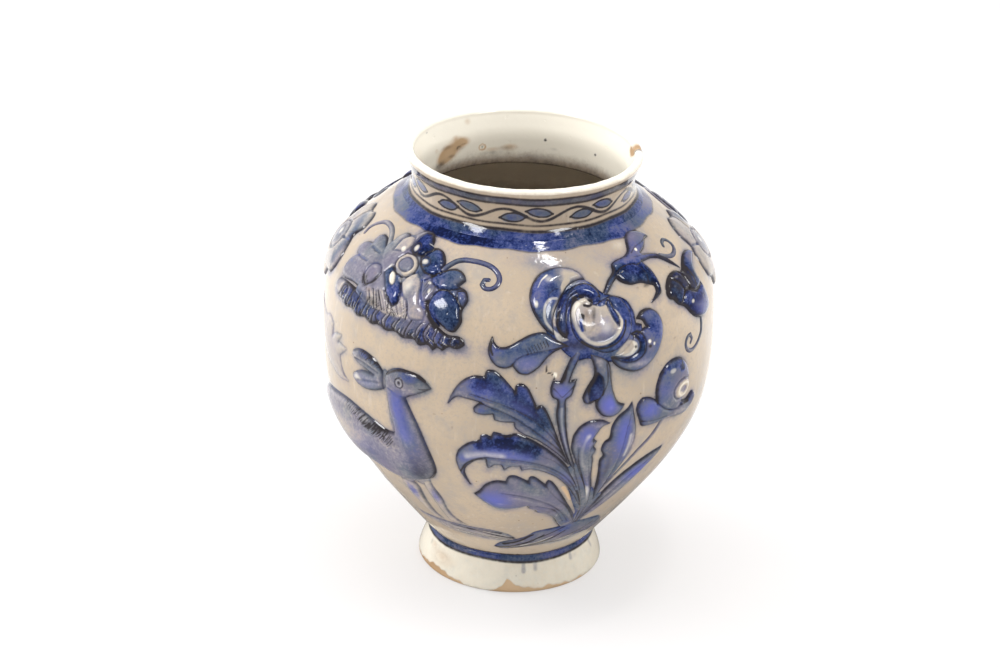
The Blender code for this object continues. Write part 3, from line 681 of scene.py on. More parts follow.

# %% [markdown]
# ## Paint for each sprig
#
# Each sprig has the height of its crown in mm, a base strength of cobalt and groups of touches. A group
# names its layer and its kind of touch, and then gives what each touch takes. Places are degrees round and
# hundredths up, as on the wall, so a touch is read straight off the frieze. The outline's dark line, the
# pooling of glaze in hollows and a painted shade inside each edge are added for every sprig alike, further
# down.

# %% Paint of the gazelle
GAZELLE = {
    "gazelle_body": (2.8, 0.31, [
        ("blue pool", (8, 0.13, [(-34, 57.6), (-33.2, 53), (-31.6, 48.5), (-29.6, 45)]),
         (3, 0.2, [(-33.6, 56.4), (-32.6, 53.4), (-31.2, 50.4)]),
         (2.4, 0.14, [(-35.6, 57.6), (-34.4, 53), (-33, 49)])),
        ("blue wash", (-31, 63, 5, 1.8, 0.34), (-62, 41, 9, 4, -0.14), (-46, 38, 8, 3, 0.1),
         (-30, 39, 5, 4, 0.12)),
        ("dark wash", (-30, 62, 5, 2, 0.3), (-43.6, 46.6, 5.6, 0.9, 0.55), (-37.4, 44.4, 3, 1.4, 0.35),
         (-28.6, 40, 5, 4.8, 0.48), (-29, 36.6, 5, 2.4, 0.2)),
        ("white ring", (0.7, 0.4, -33.4, 61, 0.85, 0.75)),
        ("dark ring", (0.7, 0.75, -33.4, 61, 1.4, 1.2)),
        ("dark dab", (-33.4, 61.1, 0.45, 0.4, 0.8)),
        ("dark stroke", (0.6, 0.6, [(-24.4, 61), (-27.2, 60.7)]),
         (1.2, 0.5, [(-38.6, 61.6), (-35, 63.4), (-30, 64), (-25.6, 62.8)])),
        ("dark hatch", (0.5, 0.6, 46, [(-57, 49), (-51, 48.7), (-44, 47.4), (-36.4, 45.8)], [(-58.2, 47.4),
          (-53, 46.8), (-46.6, 45.2), (-39, 43)]),
         (0.5, 0.5, 24, [(-50, 47.6), (-44, 46.6), (-38, 45)], [(-52, 46.2), (-46.6, 44.6),
          (-40.6, 42.8)])),
        ("dark pool", (2, 0.35, [(-25.8, 50), (-28.6, 55), (-30.6, 58)])),
        ("vivid wash", (-56, 40, 16, 5, 0.22), (-30, 42, 4, 5, 0.15)),
        ("vivid pool", (8, 0.55, [(-34, 56.6), (-33.2, 53), (-31.6, 48.5)])),
        ("lift wash", (-62, 40.5, 18, 6, 1), (-32.5, 39, 5, 5, 0.8), (-31.5, 61.4, 4, 1.4, 0.5)),
        ("lift stroke", (5, 0.5, [(-34.6, 57), (-33.2, 52), (-30.6, 46)]),
         (1, -0.5, [(-37.6, 58.6), (-33, 57.6)]))]),
    "gazelle_ears": (2, 0.34, [
        ("blue pool", (3.4, 0.2, [(-49, 64), (-45, 63.8), (-41.4, 62.6)])),
        ("dark wash", (-46, 63.6, 6, 1.2, 0.2)),
        ("white wash", (-51.4, 62.5, 1.6, 0.7, 0.35), (-50.4, 57.6, 2.4, 1, 0.5)),
        ("dark stroke", (0.8, 0.45, [(-52, 62), (-47, 61.9), (-42, 61.1)]),
         (0.8, 0.4, [(-51, 56.9), (-46, 57.9), (-41, 58.9)])),
        ("dark hatch", (0.5, 0.45, 14, [(-49.6, 64.6), (-41, 63.2)], [(-50.2, 63.4), (-42, 62)])),
        ("vivid wash", (-46, 57.6, 5, 2, 0.2)),
        ("lift stroke", (1.8, -0.5, [(-51, 62), (-47, 61.9), (-42, 61.1)]),
         (1.8, -0.5, [(-50, 57.1), (-46, 57.9), (-42, 58.7)]))]),
    "gazelle_foreleg": (1.8, 0.14, [
        ("white wash", (-27, 24, 1.6, 4, 0.16)),
        ("blue wash", (-27.6, 28.4, 1.9, 2.4, 0.16)),
        ("dark stroke", (0.7, 0.25, [(-28.2, 31), (-27.6, 25), (-26.6, 20.5), (-24.5, 17.6)])),
        ("vivid wash", (-27.4, 27, 2.4, 5, 0.45))]),
    "gazelle_rear_foreleg": (1.8, 0.16, [
        ("white wash", (-36.6, 24, 1.6, 4, 0.16)),
        ("blue wash", (-37.4, 28, 2, 2.6, 0.18)),
        ("dark wash", (-35, 26, 0.8, 5, 0.25)),
        ("vivid wash", (-37.2, 27, 2.6, 5, 0.6))]),
    "gazelle_hind_legs": (1.8, 0.2, [
        ("blue wash", (-88, 26, 3, 2.4, 0.25), (-77, 24, 2.4, 3, 0.22))]),
}
print("gazelle:", ", ".join(GAZELLE))

# %% Paint of the leaves
LEAVES = {
    "leaf_upper": (2.2, 0.4, [
        ("blue pool", (9, 0.54, [(-10, 64.4), (-7, 64.4), (-3, 62.5), (2, 60.2), (5.5, 58), (8, 55.8)])),
        ("blue wash", (-6, 66.6, 2, 1, 0.25), (1.8, 63.6, 1.6, 1.2, 0.25)),
        ("white wash", (-13.6, 62.6, 2, 1.6, 0.22)),
        ("blue stroke", (3.4, 0.16, [(9, 51.6), (3, 55.2), (-4, 57.8), (-9, 58.4)])),
        ("crease", (0.9, 0.65, 2, -0.7, [(15, 46.4), (10.4, 50.4), (4, 54.6), (-2, 57.8), (-9.4, 59.9)]),
         (0.8, 0.6, 2.4, -0.6, [(14.4, 47.6), (9.6, 53), (4, 57.2), (-3, 60), (-12, 61.9)])),
        ("dark stroke", (0.7, 0.45, [(12.6, 50.6), (9, 55), (6, 58.4)])),
        ("dark hatch",
         (0.5, 0.35, 12, [(-13, 65), (-2, 63.6), (7, 58.4)], [(-14, 62.8), (-4, 61.2), (5.4, 56.6)])),
        ("vivid pool", (7, 0.12, [(-10, 64.4), (-3, 62.5), (5.5, 58)]),
         (4, 0.15, [(-14, 62.6), (-9, 62.8), (-3, 61.4), (3, 58.6)]))]),
    "leaf_middle": (2.2, 0.42, [
        ("blue pool", (6.5, 0.8, [(-8.6, 49.7), (-4, 50.3), (1, 50), (5.6, 48.7)]),
         (4, 0.18, [(-14.6, 45.6), (-10, 47.4), (-4, 47.6), (3, 46.8), (9, 46.6)])),
        # This white pool is a painted sheen along the leaf.
        ("white pool", (6, 0.4, [(-12.6, 46.4), (-8, 47.3), (-3, 47.1)])),
        ("dark stroke", (0.9, 0.6, [(-15.6, 40.6), (-13.4, 43.6), (-8, 45.8), (-2, 45.9), (5, 45.2),
          (11, 43.4), (16, 40.2), (21, 34.4), (25.4, 27.6)]),
         (0.7, 0.45, [(2, 44.4), (8, 43.8), (14, 40.8), (19, 36)]),
         (0.7, 0.45, [(6, 48.3), (12, 45.4), (17, 41), (22, 34.6)])),
        ("blue wash", (14, 43.6, 3, 2, 0.1)),
        ("vivid wash", (17, 40, 3, 3, 0.3)),
        ("vivid pool", (6, 0.5, [(-14, 45.4), (-9, 47.2), (-3, 47.4), (4, 46.6)])),
        ("lift stroke", (2.2, -0.7, [(-15, 41), (-13, 43.8), (-8, 45.8), (-2, 45.9), (5, 45.2), (11, 43.4),
          (16, 40.2), (21, 34.4)]),
         (4, 0.6, [(-14.6, 45.6), (-10, 47.8), (-4, 48.4), (3, 47.6), (9, 46.4)]))]),
    "leaf_lower": (2.2, 0.42, [
        ("blue wash", (-5, 32.4, 4.6, 2.8, 0.16), (1.6, 32.6, 3.4, 2, -0.12)),
        ("white wash", (-3.6, 30.6, 2.6, 0.8, 0.28), (17.4, 24.2, 0.7, 0.8, 0.35)),
        ("white stroke", (1.2, 0.28, [(-8.4, 30.8), (-4.8, 28.7), (0, 28.2), (3.6, 28.8)])),
        ("blue stroke", (3.4, 0.12, [(20, 23.6), (23, 20.4)])),
        ("dark wash", (15, 26.8, 2.6, 1.1, 0.35)),
        ("crease", (0.9, 0.55, 2.2, -0.6, [(23.6, 20), (18, 26), (12, 30.4), (4, 33.6), (-3, 34.6)])),
        ("dark stroke", (0.8, 0.45, [(25, 21.4), (20, 27.6), (14.4, 33), (11, 36.8)]),
         (0.8, 0.5, [(21.4, 20.4), (15.4, 27), (9, 29.2), (5.8, 29.4)]),
         (0.6, 0.35, [(10.4, 33.4), (7.4, 36.4), (5.4, 38.4)])),
        ("vivid wash", (-5, 32.2, 4.6, 3, 0.85)),
        ("lift stroke", (1.8, -0.5, [(21.4, 20.4), (15.4, 27), (9, 29.2)]))]),
    "leaf_inner": (2.2, 0.38, [
        ("white wash", (21, 51.8, 1.8, 1.4, 0.18), (25.2, 33, 1.2, 4, 0.22)),
        ("blue wash", (21.4, 52.6, 2.6, 1.5, 0.16), (20.4, 47, 1.4, 2.4, 0.12)),
        # The first white pool is a painted sheen down the leaf; the second is a pale band.
        ("white pool", (2.8, 0.28, [(21.4, 51.4), (20.2, 49.4), (19.9, 46.5), (20.8, 43)]),
         (3.8, 0.34, [(24.2, 35), (25.2, 32), (26.2, 28.6)])),
        ("crease",
         (0.8, 0.55, 2.2, -0.6, [(28, 22.6), (25.6, 31), (22.6, 37.6), (19.6, 44), (18.8, 48.4)])),
        ("dark stroke", (0.7, 0.4, [(23.2, 49.8), (22.2, 46), (23, 42), (25.6, 34.6)])),
        ("vivid wash", (21, 51.6, 3, 3, 0.75), (25, 34, 2, 5, 0.35))]),
    "leaf_outer": (2.2, 0.44, [
        ("blue wash", (32.6, 50.4, 2, 4.2, 0.22), (36, 48, 1, 4, -0.2)),
        # This white pool is a painted sheen down the leaf.
        ("white pool", (2.8, 0.42, [(35, 49.6), (34.8, 46.6), (34.2, 44.2)])),
        ("dark wash", (29.2, 41, 1.2, 6, 0.4)),
        ("dark stroke", (0.8, 0.45, [(30.2, 27), (31.6, 36), (32.8, 44), (33.6, 52), (34.4, 56)])),
        ("vivid wash", (32.4, 50.6, 2.4, 5, 0.8)),
        ("lift stroke", (2, -0.5, [(30.2, 27), (31.6, 36), (32.8, 44), (33.6, 52)]))]),
    "leaf_blade": (2.2, 0.35, [
        ("blue wash", (42, 36.4, 5, 2.6, 0.12)),
        ("dark wash", (33, 27, 2, 4, 0.25)),
        ("crease", (0.8, 0.4, 2, -0.5, [(30.8, 22), (35, 29.6), (41, 36), (48, 39.8)])),
        ("vivid wash", (42, 36.8, 6, 3, 0.7))]),
    "iris_stem": (2, 0.44, [
        # This white pool is a painted highlight down the stem.
        ("white pool", (2.4, 0.36, [(13, 59), (13.3, 55), (14.8, 50), (17, 45)])),
        ("blue stroke", (1.8, 0.14, [(13, 59), (13.3, 55), (14.8, 50), (17, 45)])),
        ("dark wash", (13.3, 66.8, 0.9, 1.4, 0.75)),
        ("blue wash", (13, 63.4, 2.6, 1.4, 0.16), (16.4, 69.6, 1.4, 2, 0.22)),
        ("dark stroke", (0.7, 0.5, [(10.6, 64), (13, 61.8), (16.2, 64.2)])),
        ("vivid wash", (13, 63, 2.6, 1.6, 0.7))]),
}
print("leaves:", ", ".join(LEAVES))

# %% Paint of the iris flower
BLOOM_PAINT = [
    ("blue fill", (0.1, [(14, 90.8), (16, 91.6), (21, 90.2), (23.4, 87.6), (20.6, 88), (17.4, 87.4),
      (14.6, 86.4), (13.6, 88.6)], 3.2)),
    ("blue stroke",
     (2.2, -0.55, [(16.4, 88), (14.4, 86.4), (13, 84.4), (11.4, 82.2), (10.4, 80.4), (11, 78.4)])),
    ("dark stroke", (0.6, 0.4, [(12.6, 83.2), (11.2, 81.6), (10.8, 79.6), (11.6, 77.6)])),
    ("white stroke",
     (1.7, 0.46, [(12, 84), (9.8, 83.8), (8.2, 82.4), (7.8, 81), (8, 79.2), (9, 78), (10.8, 76.7)])),
    ("blue fill",
     (0.8, [(8.6, 82.4), (7.4, 84.4), (8.2, 87), (11, 88.2), (13.4, 86.8), (13, 84.6), (10.8, 83.2)], 1.4)),
    ("dark stroke", (0.7, 0.55, [(8.6, 82.8), (9.8, 85), (12.2, 86.2), (13.6, 86)], 0.4)),
    ("white wash", (10.2, 88.6, 2.4, 1.3, 0.44)),
    ("white stroke", (0.8, 0.4, [(6.2, 86.6), (7.6, 88.4), (9.6, 89.6)])),
    ("white dab", (5.5, 82.8, 0.66, 0.9, 0.6)),
    ("white fill", (0.52, [(10.4, 76.9), (11.8, 76.6), (14.9, 74.9), (12.4, 74.5), (11, 75.4)], 0.5)),
    ("petal", (0.78, 0, 0.7, 0.3, [(11.5, 77.5), (11.8, 80), (12.5, 82.9), (15, 85.5), (18.5, 86.9),
      (22.5, 87.1), (25, 86), (26.5, 83.9), (26, 82.6), (23.5, 82.4), (22.5, 83.8), (20, 84.2),
      (17.2, 83.4), (15.2, 81.6), (14.5, 79), (14.6, 76.4), (13.4, 75.6)])),
    ("dark wash", (13.4, 76, 1.8, 1.4, 0.55)),
    ("petal", (0.15, 0, -0.3, 0.2, [(15.8, 80.7), (17, 82.6), (19.2, 83.6), (21.4, 83.8), (23.2, 82.4),
      (25.6, 81.4), (28, 81.6), (30.2, 80), (31.6, 77.6), (30.8, 75.6), (28.8, 74), (26, 73), (23.2, 72.9),
      (20.5, 73.6), (18, 75.2), (16.4, 77.6)])),
    ("white stroke", (2.8, 0.38, [(23, 82.6), (21.2, 83.4), (19.2, 82.8), (17.2, 81.8), (16.4, 80.2),
      (16.6, 78.4), (17.4, 76.8), (18.6, 75.4), (20.7, 74.1), (23.2, 73.5), (26, 73.7), (28.4, 74.5),
      (30.2, 75.9), (31, 77.4), (30.6, 78.9), (29.6, 79.9)], 0.35)),
    ("white wash", (18.4, 81.6, 1.6, 1.2, 0.3), (25.6, 76.8, 2.4, 1.8, 0.48)),
    ("blue wash", (17.2, 77.6, 1.2, 1.8, 0.22), (27.6, 74.2, 2.8, 0.9, 0.2), (25.4, 76.8, 2.2, 1.9, 0.16),
     (22, 74.6, 4, 0.9, 0.16)),
    ("dark wash", (21.6, 80.2, 2.2, 1, 0.34), (21.4, 78.8, 2, 1.8, 0.26)),
    ("dark pool", (1.4, 0.3, [(23.4, 81), (22.6, 79), (21.8, 77), (20.4, 76)])),
    ("dark dab", (17.8, 83.9, 1, 0.55, 0.95), (18.8, 79.7, 0.8, 0.55, 0.95)),
    ("dark stroke", (1.3, 0.9, [(20.4, 82), (22, 81.8), (23.4, 82.4)]),
     (0.9, 0.5, [(19.6, 79.8), (19.2, 78), (19.4, 76.6)])),
    ("blue stroke", (1.4, 0.6, [(18.8, 79.4), (18.4, 78.2), (18.6, 76.8)])),
    ("petal", (0.72, 0, 0.3, 0.7, [(27.6, 82), (28.8, 82.6), (29.4, 80.4), (30.4, 78.2), (30, 76.6),
      (29, 77.8), (28, 79.8)])),
    ("dark stroke", (1, 0.85, [(18.4, 74.4), (21, 73), (23.4, 72.4), (26.4, 72.5), (29.4, 73.4),
      (31.6, 75.4), (32.4, 77.4)])),
    ("blue wash", (32.2, 74.6, 1.8, 1.6, -0.22)),
    ("blue fill",
     (0.16, [(30, 71.6), (33, 73.2), (34.6, 72.6), (35, 71), (33, 70.2), (30.2, 70), (28.6, 70.4)], 0.6)),
    ("white fill", (0.5, [(29.6, 69.9), (32.8, 70.4), (34.2, 71.4), (33.8, 73), (35.4, 72.2), (35.4, 70.6),
      (33, 69.5)], 0.5)),
    ("dark dab", (34.8, 71.3, 0.45, 0.4, 0.85)),
    ("petal", (0.82, 0, 0.5, 0.8, [(34, 74.2), (36.6, 74.3), (38.4, 72.4), (38.2, 69.9), (35.9, 68.3),
      (32, 68.1), (27.6, 69.8), (32, 69.2), (35.2, 69.9), (36.4, 71.4), (35.6, 73.2)])),
    # These two white dabs are painted glints on the fall.
    ("white dab", (39.6, 71.7, 0.6, 0.5, 0.75), (41.2, 70.9, 0.45, 0.45, 0.65)),
    ("dark dab", (39.7, 70.6, 0.7, 0.45, 0.9)),
    ("blue wash", (42.4, 74.4, 2, 2.6, 0.26), (36.4, 67.2, 6, 1, -0.3)),
    ("dark wash", (38.6, 78.2, 2, 0.8, 0.3)),
    ("vivid wash", (25.4, 77.2, 2.4, 2, 0.35), (8, 88, 4, 2, 0.3), (14, 81, 2, 4, 0.12),
     (38, 67.6, 5, 1.6, 0.2)),
    ("lift wash", (25.4, 77, 2.4, 2, 0.8), (21.4, 79.8, 2.2, 1.8, -1.1)),
    ("bare wash", (21.2, 79.6, 2.2, 2.6, 0.4)),
    ("lift stroke", (2.2, 0.5, [(21.2, 83.4), (19.2, 82.8), (17.2, 81.8), (16.4, 80.2), (16.6, 78.4),
      (17.4, 76.8), (18.6, 75.4), (20.7, 74.1), (23.2, 73.5), (26, 73.7), (28.4, 74.5), (30.2, 75.9),
      (31, 77.4)])),
]
FALL_TEETH = [
    (0.6, 0.85, [(2.4 + 0.8 * step, 73.4 + 0.25 * step), (3.2 + 0.8 * step, 72.3 + 0.22 * step)])
    for step in range(8)
]
IRIS = {
    "bloom_left_curl": (3, 0.68, []),
    "bloom_centre_curl": (3, 0.74, []),
    "bloom_cup": (3, 0.76, []),
    "fall_left": (2.4, 0.6, [
        ("blue wash", (3.6, 69.2, 4.6, 1.5, -0.24), (-4.6, 70, 2.4, 1, -0.18), (2.6, 72.6, 5, 1.2, 0.16)),
        ("dark wash", (12.6, 74.4, 3, 1, 0.45)),
        ("dark stroke", (1.2, 0.85, [(-7.1, 75), (-7.3, 73.2), (-6.6, 71.6)]),
         (0.8, 0.55, [(-1, 69.6), (0.6, 71.2), (3.6, 72.2), (9, 73), (13, 73.2)]), *FALL_TEETH),
        ("vivid wash", (3.6, 70.2, 5, 1.8, 0.45)),
        ("lift stroke", (1.6, -0.6, [(-1, 69.6), (0.6, 71.2), (6, 72.4), (13, 73.2)]))]),
    "fall_right": (2.6, 0.58, []),
    "fall_lower": (2.6, 0.5, [
        ("petal", (0.93, 0, 0.6, 0.65, [(21, 60), (20.6, 62.4), (22, 65.4), (23.2, 66.8), (24.6, 65.4),
          (24.8, 62.4), (23.4, 60.2)])),
        ("blue wash", (24, 69.6, 3, 1.8, -0.18)),
        ("dark wash", (26.6, 67, 0.8, 3, 0.25)),
        ("dark stroke", (0.8, 0.55, [(24.6, 61.4), (26, 64.6), (25.6, 68.6)])),
        ("white wash", (27.2, 58, 1.6, 1.2, 0.24)),
        ("vivid wash", (26.8, 58.8, 2.8, 2.6, 1), (22.6, 62.4, 1.4, 2, 0.2))]),
}
print("iris:", ", ".join(IRIS))

# %% Paint of the buds
BUDS = {
    "bud_spray": (2.4, 0.54, [
        ("blue pool",
         (9, 0.54, [(37, 87.2), (40.5, 87.6), (44.5, 86.9), (48, 86), (49.8, 84), (49, 81.6)])),
        # This short white stroke is a painted highlight.
        ("white stroke", (0.8, 0.4, [(37.4, 87.8), (38.4, 88.1)])),
        ("dark stroke", (0.8, 0.65, [(35.6, 88), (39, 89.1), (43, 89.2), (46, 88.6), (49, 89)]),
         (0.8, 0.6, [(44.4, 88.8), (46.6, 86.6), (46.4, 84.2)]),
         (0.7, 0.55, [(46.6, 91.6), (50, 92.6), (55, 93), (60, 93.8)]),
         (0.6, 0.55, [(46, 90.4), (51, 90.2), (56, 89.6), (60, 87.6), (63, 85)])),
        ("white dab", (49.4, 91.9, 0.8, 0.45, 0.75), (47.6, 82.4, 0.7, 0.5, 0.35)),
        ("blue wash", (52, 95, 4, 0.9, -0.16), (53, 92.8, 3.6, 0.7, 0.14)),
        ("vivid wash", (52, 95, 4, 1.6, 0.12), (40, 87, 3, 1, 0.12)),
        ("lift stroke", (1.4, -0.7, [(36, 88.2), (39, 89.1), (43, 89.2), (46, 88.6)]))]),
    "hanging_bud": (3, 0.84, [
        ("dark wash", (62, 81, 8, 2.6, 0.46), (65.5, 74.6, 5, 3, 0.24), (58, 80.6, 6, 2.4, 0.34),
         (63, 78.2, 4, 1.2, 0.4)),
        ("blue wash", (65, 74.6, 7, 3, 0.26), (60, 80.8, 7, 2.4, 0.22), (66, 71.4, 5, 1.2, -0.1),
         (73, 84, 5, 1.6, -0.4)),
        # The white dab and white washes on this bud are painted glints.
        ("white dab", (60.4, 75.9, 0.8, 0.5, 0.5)),
        ("white wash", (61.6, 79.2, 1.1, 0.6, 0.45), (58, 82.2, 1.6, 0.5, 0.4),
         (65.6, 79.6, 1.2, 0.6, 0.35), (55, 80.6, 0.9, 0.5, 0.3)),
        ("crease", (1.2, 0.9, 1.8, -1, [(56.6, 77), (58.6, 78.6), (61, 78.6), (64, 77.4), (69.6, 77.8)]),
         (1, 0.8, 1.4, -0.8, [(55, 83), (57.6, 81), (58.6, 78.8)]),
         (1, 0.8, 1.4, -0.8, [(60.6, 83.4), (61.8, 81), (61.6, 78.8)])),
        ("dark stroke", (1, 0.75, [(66, 82.4), (65.8, 80), (64.6, 77.8)])),
        ("vivid wash", (65.6, 73.4, 6, 2.4, 0.42)),
        ("lift wash", (65, 74.4, 4, 2.4, 0.7))]),
    "side_bud": (3, 0.48, [
        ("blue wash", (40.4, 55.2, 2.8, 1.7, 0.16), (50, 63.4, 4.4, 1, 0.34), (46.8, 59, 2.4, 1.8, 0.1),
         (55, 50.8, 6, 1, -0.14)),
        # This white dab is a painted highlight on the upper ball.
        ("white dab", (48.8, 62.6, 1.5, 0.7, 0.45)),
        ("blue dab", (53.2, 62.4, 1.3, 1.1, 0.45), (54, 56.9, 3.8, 2.2, -0.4),
         (54.2, 56.8, 1.4, 0.9, 0.24)),
        ("white ring", (1.6, 0.5, 54, 56.9, 2.5, 1.5)),
        ("dark ring", (0.8, 0.7, 54, 56.9, 4.2, 2.5)),
        ("dark stroke", (0.9, 0.65, [(43.8, 55.8), (47, 53.6), (51, 52.2), (55, 52.2), (59, 52)]),
         (0.8, 0.5, [(38.6, 52.4), (43, 51.8), (48, 51.6)])),
        ("white wash", (56.6, 61.4, 1.2, 1.4, 0.35)),
        ("vivid wash", (40.4, 54.8, 3.4, 2, 0.7), (47, 58, 3, 2.4, 0.25)),
        ("lift ring", (2.4, 0.6, 54, 56.9, 2.5, 1.45), (1.2, -0.7, 54, 56.9, 4.2, 2.5)),
        ("lift stroke", (1.6, -0.9, [(43.8, 55.6), (47, 53.6), (51, 52.2), (55, 52.4)]))]),
}
print("buds:", ", ".join(BUDS))

# %% Paint of the lotus and the peony
PLEAT_TOPS = [
    (-62.6, 77.2), (-56.8, 77.6), (-51.2, 77.4), (-45, 76.6), (-39, 76.2), (-33.2, 75.9), (-28.2, 76.2),
    (-25, 76.6), (-21.6, 75.6), (-18, 74.8), (-14.6, 73.8)
]
PLEAT_FEET = [
    (-64, 73.2), (-57.6, 72), (-52, 71.6), (-46, 71.8), (-40.6, 71.8), (-35.4, 71.4), (-30.6, 71.2),
    (-26.4, 70.8), (-22.6, 70.4), (-19, 70.6), (-14.6, 72)
]


def fringe_marks(count):
    """Thin curved fingers down the frill: a dark line in a groove between them, and a pale hair on each."""
    shares = np.linspace(0.01, 0.99, count)
    marks = []
    ends = zip(shares, places_along(PLEAT_TOPS, shares), places_along(PLEAT_FEET, shares))
    for step, (share, top, foot) in enumerate(ends):
        lean = 5.0 * share - 1.4 + 1.4 * math.sin(2.4 * step)
        root = top + (0.34 + 0.32 * math.sin(4.3 * step)) * (foot - top)
        tip = foot + (lean, 0.6 * math.sin(5.1 * step))
        line = np.array([tip, 0.5 * (root + tip) - (0.5 * lean + 0.3, 0.0), root])
        hair = line * (1.0, 0.8) + root * (0.0, 0.2) + (0.6, 0.0)
        marks += [("blue stroke", (1.6, 0.24 * math.sin(1.9 * step), line + (0.6, 0.0))),
                  ("lift stroke", (1.1, -0.40, line, 0.4)),
                  ("dark stroke", (0.9, 0.70 + 0.3 * math.sin(3.1 * step), line, 0.6)),
                  ("white stroke", (0.55, 0.30 + 0.24 * math.sin(1.3 * step), hair, 0.5))]
    return marks


